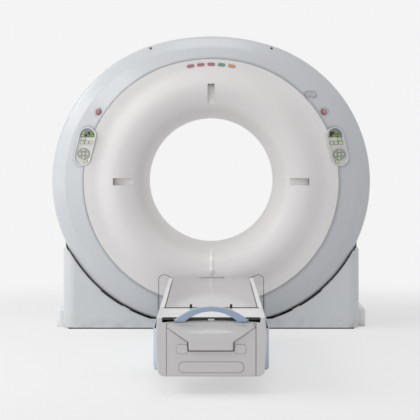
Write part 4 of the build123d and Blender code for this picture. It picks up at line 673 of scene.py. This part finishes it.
# %% Crowned nose cover
def nose_mesh(rows=44, columns=56):
    """The cover's front skin, its rim and its flat back."""
    form = bmesh.new()
    front, back = [], []
    for row in range(rows + 1):
        z = NOSE_LOW + (NOSE_TOP - NOSE_LOW) * row / rows
        left, right = read_off(NOSE_LEFT, z), read_off(NOSE_RIGHT, z)
        above = max(0.0, (z - NOSE_SHOULDER) / (NOSE_TOP - NOSE_SHOULDER))
        front.append([])
        back.append([])
        for column in range(columns + 1):
            x = left + (right - left) * column / columns
            arch = 1 - (x / SLOT_HALF) ** 2
            edge = min(x - left, right - x, z - NOSE_LOW, NOSE_TOP - z) / NOSE_RIM
            round_off = math.sqrt(max(0.0, 1 - (1 - min(edge, 1.0)) ** 2))
            fullness = (NOSE_CHEEK + (1 - NOSE_CHEEK) * arch) * round_off
            out = NOSE_STEP + (NOSE_OUT - NOSE_STEP - nose_lean(z)) * fullness
            lift = above * NOSE_ARCH * arch
            front[-1].append(form.verts.new((x, COUCH_FOOT - max(out, NOSE_THIN), z + lift)))
            back[-1].append(form.verts.new((x, COUCH_FOOT - NOSE_BACK, z + lift)))
    for grid in (front, back):
        for low, high in zip(grid, grid[1:]):
            for n in range(columns):
                form.faces.new((low[n], low[n + 1], high[n + 1], high[n]))
    around = [(0, n) for n in range(columns)] + [(n, columns) for n in range(rows)]
    around += [(rows, n) for n in range(columns, 0, -1)] + [(n, 0) for n in range(rows, 0, -1)]
    for (r0, c0), (r1, c1) in zip(around, around[1:] + around[:1]):
        form.faces.new((front[r0][c0], front[r1][c1], back[r1][c1], back[r0][c0]))
    mesh = closed_mesh("nose_cover", form)
    for face in mesh.polygons:
        face.use_smooth = True
    return mesh


nose = link("nose_cover", nose_mesh(), couch_white, "couch_top")
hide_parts("couch_nose_cover")
print("nose cover:", len(nose.data.polygons), "faces")

# %% [markdown]
# ## Finding the surface under a line
# A moulded cover ends in a thin rubber lip, which shows as a dark olive line. The lines could be cut into
# the covers, but those are CAD meshes and stay as they are, so each line is laid on top. A search tree
# over the faces finds the surface quickly. A line's path gets rounded corners and a point at every
# centimetre.

# %% Surfaces and paths
def surface(*names):
    """A search tree over the faces of some of the pieces."""
    corners, faces = [], []
    for name in names:
        mesh = (NODES[name] if name in NODES else bpy.data.objects[name]).data
        start = len(corners)
        corners += [vertex.co.copy() for vertex in mesh.vertices]
        faces += [[start + n for n in face.vertices] for face in mesh.polygons]
    return BVHTree.FromPolygons(corners, faces)


def eased(path, radius):
    """A path with its corners rounded by short curves."""
    points = [Vector(path[0])]
    for before, here, after in zip(path, path[1:], path[2:]):
        corner = Vector(here)
        start = corner + (Vector(before) - corner).normalized() * radius
        end = corner + (Vector(after) - corner).normalized() * radius
        for share in (0, 0.25, 0.5, 0.75, 1):
            points.append(start.lerp(corner, share).lerp(corner.lerp(end, share), share))
    return points + [Vector(path[-1])]


def resampled(path, step=0.01):
    """A path with a point at least every step."""
    points = [path[0]]
    for a, b in zip(path, path[1:]):
        count = max(1, math.ceil((b - a).length / step))
        points += [a.lerp(b, n / count) for n in range(1, count + 1)]
    return points


print("points on a metre of path:", len(resampled([Vector((0, 0)), Vector((1, 0))])))

# %% [markdown]
# ## Laying a strip
# Each line is drawn flat, as seen from one side, and a ray from that side finds the surface at every
# point. The Shrinkwrap modifier could press a flat strip on, but it gives no thickness. The strip here is
# a closed thin band, half sunk into the surface. Three rubbers serve all lines: dark trim, grey seams and
# faint ones.

# %% Strips
FRONT, DOWN = Vector((0, 1, 0)), Vector((0, 0, -1))
START_FRONT, START_ABOVE, HALF_STRIP = -6, 3, 0.0006
rubber = dull_plastic("trim rubber", (0.035, 0.035, 0.024), 0.6)
seam_grey = dull_plastic("seam grey", (0.21, 0.21, 0.19), 0.6)
faint_seam = dull_plastic("faint seam", (0.34, 0.335, 0.32), 0.6)


def laid(name, paths, width, under, look, finish, body, radius=0.003):
    """Thin closed bands along paths, dropped onto a surface in the direction of the look."""
    form = bmesh.new()
    for path in paths:
        points, rings = resampled(eased(path, radius)), []
        for n, here in enumerate(points):
            run = (points[min(n + 1, len(points) - 1)] - points[max(n - 1, 0)]).normalized()
            side = Vector((run.y, -run.x)) * width / 2
            for spot in (here + side, here - side):
                start = Vector((spot.x, START_FRONT, spot.y))
                if look is DOWN:
                    start = Vector((spot.x, spot.y, START_ABOVE))
                # Where a ray finds nothing, the nearest place to the last one found will do
                found = under.ray_cast(start, look)[0] or under.find_nearest(last)[0]
                last = found
                over, below = found - look * HALF_STRIP, found + look * HALF_STRIP
                rings.append((form.verts.new(over), form.verts.new(below)))
        pairs = list(zip(rings[::2], rings[1::2]))
        for (a, b), (c, d) in zip(pairs, pairs[1:]):
            form.faces.new((a[0], c[0], d[0], b[0]))
            form.faces.new((b[1], d[1], c[1], a[1]))
            form.faces.new((a[0], a[1], c[1], c[0]))
            form.faces.new((b[0], d[0], d[1], b[1]))
        for a, b in (pairs[0], pairs[-1]):
            form.faces.new((a[0], b[0], b[1], a[1]))
    return link(name, closed_mesh(name, form), finish, body)


print("strips are", HALF_STRIP * 2000, "mm thick")

# %% [markdown]
# ## Where the seams run
# The service panel under the bore, the nose cover, the couch's end panel and its pill-shaped cover all end
# in seams. Each is a list of corners in metres, because a few listed corners are easier to read and to
# change than a drawn curve. Faint seams get a paler strip.

# %% Seam lines on the gantry and the couch
AXIS_Z = 1.040
SERVICE = [(0.367, 0.088), (0.367, AXIS_Z - 0.668), (0.330, AXIS_Z - 0.645), (0.268, AXIS_Z - 0.673)]
SERVICE += [(-x, z) for x, z in reversed(SERVICE)]
gantry_front = surface("front_funnel", "front_ring_cover", "service_panel_funnel", "service_panel_ring")
laid("service_panel_lip", [SERVICE], 0.003, gantry_front, FRONT, rubber, "gantry", 0.012)

laid("bead_up_to_the_bore", [[(0.0, 0.588), (0.0, 0.544)]], 0.014, gantry_front, FRONT, bead_white, "gantry")

foot_end = surface("couch_end_shell", "couch_end_panel")
nose_line = [(-0.2355, 0.357), (-0.1235, 0.2805), (-0.1205, 0.2315)]
nose_line += [(0.1185, 0.2315), (0.1205, 0.2805), (0.2335, 0.357)]
laid("nose_lip", [nose_line], 0.005, foot_end, FRONT, rubber, "couch_top")
for side, x, wide in (("left", -0.2344, 0.0022), ("right", 0.2344, 0.0035)):
    down_the_end = [(x, 0.380), (x, 0.102)]
    laid(f"end_panel_lip_{side}", [down_the_end], wide, foot_end, FRONT, seam_grey, "couch_top")


def box_path(x, z, half_long, half_tall):
    """A closed rectangle about a place, starting in the middle of its top."""
    right, left, top, low = x + half_long, x - half_long, z + half_tall, z - half_tall
    return [(x, top), (right, top), (right, low), (left, low), (left, top), (x, top)]


pill = box_path(0.0, 0.147, 0.1705, 0.028)
caps = [box_path(x, 0.242, 0.029, 0.024) for x in (-0.153, 0.153)]
laid("pill_lip", [pill], 0.0016, foot_end, FRONT, seam_grey, "couch_top", 0.027)
laid("cap_lips", caps, 0.0009, foot_end, FRONT, faint_seam, "couch_top", 0.010)

# %% [markdown]
# ## The deck's band, the slot's lip and the table's far lip
# A dark band of rubber closes the deck behind the tabletop, a thicker dark lip frames the slot that the
# handle stands in, and its dark tone is also painted shade for the slot; a small catch sits in its middle.
# The far end of the tabletop has a pale face. All of them are plain profiles, so a strip or a prism is
# enough.

# %% Deck and slot
deck = surface("couch_end_shell")
TABLE_FOOT, BAND_HALF, BAND_LONG, BAND_GAP = -2.690, 0.263, 0.046, 0.003
band_y = TABLE_FOOT - BAND_LONG / 2 - BAND_GAP
across_deck = [(-BAND_HALF, band_y), (BAND_HALF, band_y)]
laid("lip_behind_tabletop", [across_deck], BAND_LONG, deck, DOWN, rubber, "couch_top")


def in_front(y, across, up, out):
    """A place in front of an upright plane that faces the couch's foot."""
    return Vector((across, y - out, up))


on_foot = partial(in_front, COUCH_FOOT)
# The slot's dark lip is rubber, and its dark tone also stands in for the shade inside the slot.
slot_lip = [(-0.258, 0.3945), (0.258, 0.3945), (0.258, 0.4045)]
slot_lip += [(0.252, 0.4078), (-0.252, 0.4078), (-0.258, 0.4045)]
raised("slot_lip", [slot_lip], on_foot, -0.006, 0.0008, rubber, "couch_top")
TABLE_LIP_Y = -0.844
on_table_lip = partial(in_front, TABLE_LIP_Y)
far_lip = [(-0.078, 0.4076), (0.078, 0.4076), (0.078, 0.4128), (-0.078, 0.4128)]
raised("table_lip_face", [far_lip], on_table_lip, -0.0004, 0.0008, rail_white, "table")
catch = [(-0.016, 0.3915), (0.016, 0.3915), (0.016, 0.4010), (-0.016, 0.4010)]
raised("slot_catch", [catch], on_foot, -0.012, 0.0020, couch_white, "couch_top")
print("deck band at y =", round(band_y, 3))

# %% [markdown]
# ## Dark strips and painted shade at the floor
# The covers stop a few millimetres above the floor, and a dark rubber strip closes that gap under the
# cradle and under the rear wall; its dark tone also stands in for the shade under the covers. A thin dark
# sheet inside the base is painted shade. The covers could reach the floor instead, but the real ones don't,
# and without the dark sheet the pale studio floor shows through the narrow openings.

# %% Strips and painted-shade sheet under the base
STRIP_LOW, STRIP_TOP, SHADE_SHEET_TOP = 0.0004, 0.0085, 0.0016
sole = dull_plastic("sole rubber and painted shade", (0.030, 0.032, 0.030), 0.8)


def flat_on_floor(u, v, up):
    """A place over the floor: across, along the bore, and up."""
    return Vector((u, v, up))


def rectangle(left, right, near, far):
    """A flat rectangle from its four sides."""
    return [(left, near), (right, near), (right, far), (left, far)]


STRIP_DEEP, SHADE_SHEET_NEAR, SHADE_SHEET_FAR, REAR_FAR = 0.004, -0.322, 0.394, 0.398
CRADLE_SIDE, CRADLE_MOUTH, CRADLE_FACE = 1.008, 0.350, -0.3275
strips = [
    rectangle(-CRADLE_SIDE, -CRADLE_MOUTH, CRADLE_FACE, CRADLE_FACE + STRIP_DEEP),
    rectangle(CRADLE_MOUTH, CRADLE_SIDE, CRADLE_FACE, CRADLE_FACE + STRIP_DEEP),
    rectangle(-CRADLE_SIDE, CRADLE_SIDE, SHADE_SHEET_FAR, REAR_FAR),
]
# The sheet inside the base is painted shade; the strips are rubber whose dark tone also stands in for shade.
shade_sheet = rectangle(-CRADLE_SIDE, CRADLE_SIDE, SHADE_SHEET_NEAR, SHADE_SHEET_FAR)
raised("foot_strips", strips, flat_on_floor, STRIP_LOW, STRIP_TOP, sole, "base")
raised("mat_inside_base", [shade_sheet], flat_on_floor, STRIP_LOW, SHADE_SHEET_TOP, sole, "base")
print("mat:", round(2 * CRADLE_SIDE, 3), "m wide")

# %% [markdown]
# ## The cradle's edge along the ring
# The cradle's opening follows the ring: an oval of four arcs, cut flat below. A pale edge strip hides most
# of the gap, and in the wide stretches it stands further out, so that the black seal behind it shows. The
# strip could be cut from the CAD mesh, but the oval's rule is simple: growing it by a distance keeps the
# arcs' centres, so a direction and a distance give a point.

# %% The ring's oval
RIM_A, RIM_B, OVAL_FLATNESS, FLAT_DEPTH = 1.124, 1.025, 0.16, 0.96
SIDE_RADIUS = RIM_B - OVAL_FLATNESS * (RIM_A - RIM_B)
SIDE_CENTRE = RIM_A - SIDE_RADIUS
LOW_CENTRE = (SIDE_CENTRE ** 2 - (RIM_B - SIDE_RADIUS) ** 2) / (2 * (RIM_B - SIDE_RADIUS))


def rim_point(turn, grow):
    """A point a distance outside the ring's rim, from the direction it faces."""
    run, rise = math.cos(turn), math.sin(turn)
    if abs(run) > SIDE_CENTRE / math.hypot(SIDE_CENTRE, LOW_CENTRE):
        x = math.copysign(SIDE_CENTRE, run) + (SIDE_RADIUS + grow) * run
        z = (SIDE_RADIUS + grow) * rise
    else:
        x = (RIM_B + LOW_CENTRE + grow) * run
        z = LOW_CENTRE + (RIM_B + LOW_CENTRE + grow) * rise
    return x, max(z, -FLAT_DEPTH - grow) + AXIS_Z


print("rim at the right:", [round(part, 3) for part in rim_point(0.0, 0.0)])

# %% [markdown]
# ## Narrow and wide stretches of the edge
# The walk goes round the lower part of the ring in half degrees and starts a new stretch wherever the gap
# turns from narrow to wide. Each step becomes one small prism of the strip. One long outline would do as
# well, but it would be a single face with hundreds of corners, which renders badly.

# %% Edge strip
WIDE_GAPS = ((224.5, 234.5), (237.5, 262.0), (278.0, 302.5), (305.5, 315.5))
EDGE_TOP, EDGE_SIDE, EDGE_OUT, EDGE_BACK = 0.596, 1.000, 0.3296, 0.3250
WALK_FROM, WALK_TO, STEPS_A_DEGREE = 201, 339, 2
NARROW, WIDE = (0.0035, 0.0135, 0.0044), (0.0095, 0.028, 0.0105)
stretches, was_wide = [], None
for n in range(STEPS_A_DEGREE * WALK_FROM, STEPS_A_DEGREE * WALK_TO + 1):
    turn = math.radians(n / STEPS_A_DEGREE)
    x, z = rim_point(turn, 0.0)
    if z > EDGE_TOP or abs(x) > EDGE_SIDE:
        was_wide = None
        continue
    around = math.degrees(math.atan2(z - AXIS_Z, x)) % 360
    wide = any(start <= around <= end for start, end in WIDE_GAPS)
    if wide is not was_wide:
        stretches.append((wide, []))
        was_wide = wide
    stretches[-1][1].append(turn)
edges = []
for wide, turns in stretches:
    inner, outer, spread = WIDE if wide else NARROW
    turns = [turns[0] - spread, *turns, turns[-1] + spread]
    for here, after in zip(turns, turns[1:]):
        far = [rim_point(here, outer), rim_point(after, outer)]
        near = [rim_point(after, inner), rim_point(here, inner)]
        edges.append(far + near)
raised("cradle_edge_strip", edges, partial(in_front, 0.0), EDGE_BACK, EDGE_OUT, cradle_grey, "base")
print("edge strip:", len(stretches), "stretches,", len(edges), "steps")

# %% [markdown]
# ## Geometry Nodes for what repeats
# The covers are held by rows of equal screws, and cool air leaves through stacks of equal slots. Copies
# made in a loop would do, but in a node tree a size is an input that can be turned later. One class holds
# a tree with named inputs. A function runs it on a seed mesh and keeps the result as a plain mesh.

# %% Trees
class Tree:
    """A Geometry Nodes tree with named inputs."""

    def __init__(self, name, sizes, finish):
        self.group = bpy.data.node_groups.new(name, "GeometryNodeTree")
        face = self.group.interface
        face.new_socket("Geometry", in_out="INPUT", socket_type="NodeSocketGeometry")
        for key, value in sizes.items():
            kind = "NodeSocketInt" if isinstance(value, int) else "NodeSocketFloat"
            face.new_socket(key, in_out="INPUT", socket_type=kind).default_value = value
        face.new_socket("Geometry", in_out="OUTPUT", socket_type="NodeSocketGeometry")
        self.start = self.group.nodes.new("NodeGroupInput")
        self.end = self.group.nodes.new("NodeGroupOutput")
        self.finish = finish

    def add(self, kind, settings=None, **inputs):
        node = self.group.nodes.new(kind)
        for key, value in (settings or {}).items():
            setattr(node, key, value)
        for key, value in inputs.items():
            socket = node.inputs[key.replace("_", " ")]
            if hasattr(value, "is_output"):
                self.group.links.new(value, socket)
            else:
                socket.default_value = value
        return node

    def close(self, instances):
        """End the tree: real geometry with its material."""
        real = self.add("GeometryNodeRealizeInstances", Geometry=instances)
        painted = self.add("GeometryNodeSetMaterial", Geometry=real.outputs[0], Material=self.finish.material)
        self.group.links.new(painted.outputs[0], self.end.inputs[0])


def grown(name, tree, mesh, sizes, body):
    """Run a tree on a mesh, keep the result as a plain mesh, and put it on a body."""
    seed = bpy.data.objects.new(name, mesh)
    bpy.context.scene.collection.objects.link(seed)
    modifier = seed.modifiers.new(name, "NODES")
    modifier.node_group = tree.group
    for item in tree.group.interface.items_tree:
        if item.in_out == "INPUT" and item.name in sizes:
            modifier[item.identifier] = sizes[item.name]
    graph = bpy.context.evaluated_depsgraph_get()
    made = bpy.data.meshes.new_from_object(seed.evaluated_get(graph))
    bpy.data.objects.remove(seed)
    return link(name, made, tree.finish, body)


print("a tree starts with a Group Input and ends in Set Material")

# %% [markdown]
# ## Screw heads
# A real head is a flat steel disc with a hexagonal socket. It could be modelled once and copied, but the
# tree cuts the socket itself, so both sizes stay inputs. It puts a head on every point of a mesh and turns
# it to the direction stored with the point.

# %% Screw head tree
screw_steel = bare_metal("screw steel", (0.55, 0.55, 0.56), (1, 1, 0.2), 0.3)
HEAD_SIZES = {"Head radius": 0.006, "Head height": 0.0022, "Socket radius": 0.0028}
screws = Tree("screw heads", HEAD_SIZES, screw_steel)
head_radius, head_height, socket_radius = [screws.start.outputs[name] for name in HEAD_SIZES]
head = screws.add("GeometryNodeMeshCylinder", Vertices=20, Radius=head_radius, Depth=head_height)
recess = screws.add("GeometryNodeMeshCylinder", Vertices=6, Radius=socket_radius, Depth=head_height)
SOCKET_RISE = (0, 0, 0.0012)
lifted = screws.add("GeometryNodeTransform", Geometry=recess.outputs["Mesh"], Translation=SOCKET_RISE)
hollow = screws.add("GeometryNodeMeshBoolean", {"operation": "DIFFERENCE"})
screws.group.links.new(head.outputs["Mesh"], hollow.inputs["Mesh 1"])
screws.group.links.new(lifted.outputs[0], hollow.inputs["Mesh 2"])
facing = screws.add("GeometryNodeInputNamedAttribute", {"data_type": "FLOAT_VECTOR"}, Name="facing")
aimed = screws.add("FunctionNodeAlignRotationToVector", {"axis": "Z"}, Vector=facing.outputs["Attribute"])
dots = screws.add("GeometryNodeMeshToPoints", Mesh=screws.start.outputs["Geometry"])
placed = screws.add("GeometryNodeInstanceOnPoints", Points=dots.outputs[0], Instance=hollow.outputs[0])
screws.group.links.new(aimed.outputs[0], placed.inputs["Rotation"])
screws.close(placed.outputs[0])
print("screw head tree:", len(screws.group.nodes), "nodes")

# %% [markdown]
# ## Where the screws sit
# Sixteen screws follow the rear cover's oval, five sit round each bearing, four in the corners of each
# stand's cover and two at each foot. They could be placed by hand, but a rule for each group keeps the
# spacing even. Every head stands proud of its cover by less than two millimetres.

# %% Screws
def points_mesh(name, spots):
    """A mesh of loose points, each with the direction it faces."""
    mesh = bpy.data.meshes.new(name)
    mesh.from_pydata([place for place, _ in spots], [], [])
    facing = mesh.attributes.new("facing", "FLOAT_VECTOR", "POINT")
    for item, (_, direction) in zip(facing.data, spots):
        item.vector = direction
    return mesh


SCREW_OUT, HEAD_SIZE = 0.0008, {"Head radius": 0.0065}
REAR_FACE, REAR_WIDE, REAR_HIGH, REAR_COUNT = 0.470, 0.782, 0.756, 16
SIDE_FACE, BEARING_ROUND, BEARING_COUNT = 1.048, 0.235, 5
COVER_CORNERS = ((-0.20, 0.20), (0.27, 0.20), (-0.20, 0.46), (0.27, 0.50))
FOOT_COVER_FACE, FOOT_REACH, FOOT_UP = 1.102, 0.14, 0.066
rear = []
for n in range(REAR_COUNT):
    turn = math.radians(360 * (n + 0.5) / REAR_COUNT)
    x, z = REAR_WIDE * math.cos(turn), AXIS_Z + REAR_HIGH * math.sin(turn)
    rear.append(((x, REAR_FACE + SCREW_OUT, z), (0, 1, 0)))
sides = []
for sign in (-1, 1):
    side_x, foot_x = sign * (SIDE_FACE + SCREW_OUT), sign * (FOOT_COVER_FACE + SCREW_OUT)
    for n in range(BEARING_COUNT):
        turn = math.radians(60 * n - 30)
        y, z = BEARING_ROUND * math.cos(turn), AXIS_Z + BEARING_ROUND * math.sin(turn)
        sides.append(((side_x, y, z), (sign, 0, 0)))
    sides += [((side_x, y, z), (sign, 0, 0)) for y, z in COVER_CORNERS]
    sides += [((foot_x, y, FOOT_UP), (sign, 0, 0)) for y in (-FOOT_REACH, FOOT_REACH)]
grown("rear_cover_screws", screws, points_mesh("rear screw places", rear), HEAD_SIZE, "gantry")
grown("base_screws", screws, points_mesh("base screw places", sides), HEAD_SIZE, "base")
print("screws:", len(rear), "at the rear,", len(sides), "on the base")

# %% [markdown]
# ## Louvres at the rear
# Cooling air leaves low down at the rear, through two fields of dark slots. The slots could be cut through
# the cover, but nothing lit lies behind them, so thin dark bars on the surface look the same. A count and
# a pitch make the stack.

# %% Louvres
slot_dark = dull_plastic("louvre shadow", (0.03, 0.032, 0.035), 0.7)
STACK = {"Count": 9, "Pitch": 0.018}
louvres = Tree("louvres", {**STACK, "Length": 0.19, "Height": 0.007}, slot_dark)
step = louvres.add("ShaderNodeCombineXYZ", Z=louvres.start.outputs["Pitch"])
line = louvres.add("GeometryNodeMeshLine", Count=louvres.start.outputs["Count"], Offset=step.outputs[0])
SLOT_DEEP, long, tall = 0.0012, louvres.start.outputs["Length"], louvres.start.outputs["Height"]
size = louvres.add("ShaderNodeCombineXYZ", X=long, Y=SLOT_DEEP, Z=tall)
slot = louvres.add("GeometryNodeMeshCube", Size=size.outputs[0])
stack = louvres.add("GeometryNodeInstanceOnPoints", Points=line.outputs[0], Instance=slot.outputs["Mesh"])
whole = louvres.add("GeometryNodeJoinGeometry")
louvres.group.links.new(stack.outputs[0], whole.inputs[0])
louvres.close(whole.outputs[0])
FIELD_X, FIELD_Y, FIELD_Z = 0.755, 0.4004, 0.085
for side, sign in (("left", -1), ("right", 1)):
    field = grown(f"louvres_{side}", louvres, bpy.data.meshes.new("start"), STACK, "base")
    field.data.transform(Matrix.Translation((sign * FIELD_X, FIELD_Y, FIELD_Z)))
    print(field.name, "has", len(field.data.polygons) // 6, "slots")

# %% [markdown]
# ## Status lamps
# The ring carries five small lenses in three colours, and one node holds them all. Each could get a
# material slot of its own, but the lenses sit side by side, so two steps along X pick the colour within
# one finish.

# %% Lamp lenses
lens = Finish("lamp lenses")
across_lamps = lens.axis("X")
red, green, amber = (0.30, 0.055, 0.075), (0.012, 0.20, 0.115), (0.56, 0.20, 0.05)
GREEN_FROM, AMBER_FROM, SWITCH = 0.035, 0.108, 0.001
colour = lens.mix(across_lamps.between(GREEN_FROM, GREEN_FROM + SWITCH), red, green)
colour = lens.mix(across_lamps.between(AMBER_FROM, AMBER_FROM + SWITCH), colour, amber)
lens.set(
    Base_Color=lens.mix(lens.noise(120, 2) * 0.4, colour, (0.8, 0.7, 0.7)),
    Roughness=0.18 + lens.noise(200, 2) * 0.08,
    Coat_Weight=0.6,
)
dress(lens, "status_lamps")
print("lens colours switch at x =", GREEN_FROM, "and", AMBER_FROM)

# %% [markdown]
# ## The studio's floor
# The photo has no horizon. A curved backdrop is the usual way, but its bend would show in side views. This
# floor is one large pale plate. Near the scanner it is partly lit like any floor and partly an even pale
# tone, so it keeps a faint shadow; further out it turns wholly into the even pale tone that meets the world's
# colour.

# %% Floor
PAPER = (0.905, 0.905, 0.905)


def looking(finish):
    """1 for rays that show a place: the camera's, and those mirrored or let through on their way."""
    camera_ray, glossy_ray, through_ray = [finish.add("ShaderNodeLightPath", out=n) for n in (0, 3, 6)]
    return finish.sum_of("MAXIMUM", camera_ray, finish.sum_of("MAXIMUM", glossy_ray, through_ray))


floor_finish = Finish("studio floor")
floor_finish.tree.nodes.remove(floor_finish.shader)
matt = floor_finish.add("ShaderNodeBsdfDiffuse", {}, {"Color": (0.86, 0.86, 0.86)})
glow = floor_finish.add("ShaderNodeEmission", {}, {"Color": PAPER, "Strength": 1.0})
SCANNER_MIDDLE, SHADOW_ENDS, PAPER_STARTS, PAPER_NEAR = (0.0, -1.4, 0.0), 2.6, 5.0, 0.55
spot = floor_finish.place()
away = floor_finish.add("ShaderNodeVectorMath", {"operation": "SUBTRACT"}, spot, SCANNER_MIDDLE)
reach = floor_finish.add("ShaderNodeVectorMath", {"operation": "LENGTH"}, away, out=1)
far_share = reach.between(SHADOW_ENDS, PAPER_STARTS) * (1 - PAPER_NEAR) + PAPER_NEAR
both = floor_finish.add("ShaderNodeMixShader", {}, looking(floor_finish) * far_share, matt, glow)
floor_finish.tree.links.new(both.socket, floor_finish.output.inputs[0])

floor_mesh = bpy.data.meshes.new("studio floor")
SPAN = 60.0
corners = [(-SPAN, -SPAN, 0), (SPAN, -SPAN, 0), (SPAN, SPAN, 0), (-SPAN, SPAN, 0)]
floor_mesh.from_pydata(corners, [], [(0, 1, 2, 3)])
floor_mesh.materials.append(floor_finish.material)
floor = bpy.data.objects.new("studio floor", floor_mesh)
bpy.context.scene.collection.objects.link(floor)
print("the floor is", 2 * SPAN, "m wide")

# %% [markdown]
# ## The world behind the scanner
# The world does two jobs. It lights the scanner softly from all round, and it is the paper tone that the
# camera sees behind it. One strength could not do both, so the kind of ray picks between two backgrounds.
# Glossy and transmitted rays get the paper tone too, so reflections look like the room.

# %% World
class Sky(Finish):
    """The world's nodes, made with the same methods as a finish."""

    def __init__(self, world):
        world.use_nodes = True
        self.tree = world.node_tree
        self.tree.nodes.clear()
        self.output = self.tree.nodes.new("ShaderNodeOutputWorld")


WORLD_STRENGTH = 0.552
bpy.context.scene.world = bpy.data.worlds.new("studio")
sky = Sky(bpy.context.scene.world)
lit = sky.add("ShaderNodeBackground", {}, {"Color": (1, 1, 1), "Strength": WORLD_STRENGTH})
shown = sky.add("ShaderNodeBackground", {}, {"Color": PAPER})
choice = sky.add("ShaderNodeMixShader", {}, looking(sky), lit, shown)
sky.tree.links.new(choice.socket, sky.output.inputs[0])
print("world strength:", WORLD_STRENGTH)

# %% [markdown]
# ## Softboxes
# The photo's light is soft and comes from the left and above. One big lamp would leave the right side of
# the bore black. Several softboxes share the work, and their watts were fitted to tones measured in the
# photo. A narrow one lights the shoulder at the couch's end.

# %% Softboxes
def softbox(name, spot, target, size, watts):
    """An area lamp at a place, facing a target."""
    data = bpy.data.lights.new(name, "AREA")
    data.shape = "RECTANGLE"
    data.size, data.size_y = size
    data.energy = watts
    lamp = bpy.data.objects.new(name, data)
    lamp.location = spot
    lamp.rotation_euler = (Vector(target) - Vector(spot)).to_track_quat("-Z", "Y").to_euler()
    lamp.visible_camera = False
    bpy.context.scene.collection.objects.link(lamp)


AIM = (0, -0.3, 0.9)
SOFTBOXES = {
    "key from the upper left": ((-5.0, -6.0, 6.0), 2.6, 75),
    "grazing light from the left": ((-7.5, -3.5, 5.0), 2.6, 70),
    "light from the left side": ((-6.5, -0.8, 5.5), 2.6, 113),
    "fill from the left": ((-7.0, -2.5, 1.6), 3.0, 37),
    "small low fill from the left": ((-3.0, -3.5, 1.2), 1.0, 6.6),
    "soft top": ((0.0, -2.0, 8.0), 3.0, 56),
}
for name, (spot, width, watts) in SOFTBOXES.items():
    softbox(name, spot, AIM, (width, width), watts)
softbox("light on the couch's shoulder", (0.0, -6.4, 4.1), (0, -3.2, 0.33), (1.4, 0.5), 12)
print("watts from softboxes on the scanner:", sum(watts for _, _, watts in SOFTBOXES.values()))

# %% [markdown]
# ## Camera
# The photograph was taken from far away with a long lens, straight along the bore. Tilting the camera down
# would make upright lines lean together, which they don't in the photo. So the camera stays level, and its
# frame is shifted down instead. Focal length and horizon are in the photo's pixels.

# %% Camera
FRAME, FOCUS, HORIZON, MIDDLE = 420.0, 1570.0, 138.0, 211.2
SENSOR, CAMERA_Y, CAMERA_HEIGHT = 36.0, -11.4, 1.346
camera_data = bpy.data.cameras.new("camera")
camera_data.sensor_width = SENSOR
camera_data.lens = SENSOR * FOCUS / FRAME
camera_data.shift_x = (FRAME / 2 - MIDDLE) / FRAME
camera_data.shift_y = (HORIZON - FRAME / 2) / FRAME
camera_data.clip_end = 200
camera = bpy.data.objects.new("camera", camera_data)
camera.location = (0, CAMERA_Y, CAMERA_HEIGHT)
camera.rotation_euler = (math.radians(90), 0, 0)
bpy.context.scene.collection.objects.link(camera)
bpy.context.scene.camera = camera
bpy.context.scene.view_settings.view_transform = "Standard"
print("lens:", round(camera_data.lens, 1), "mm")

# %% [markdown]
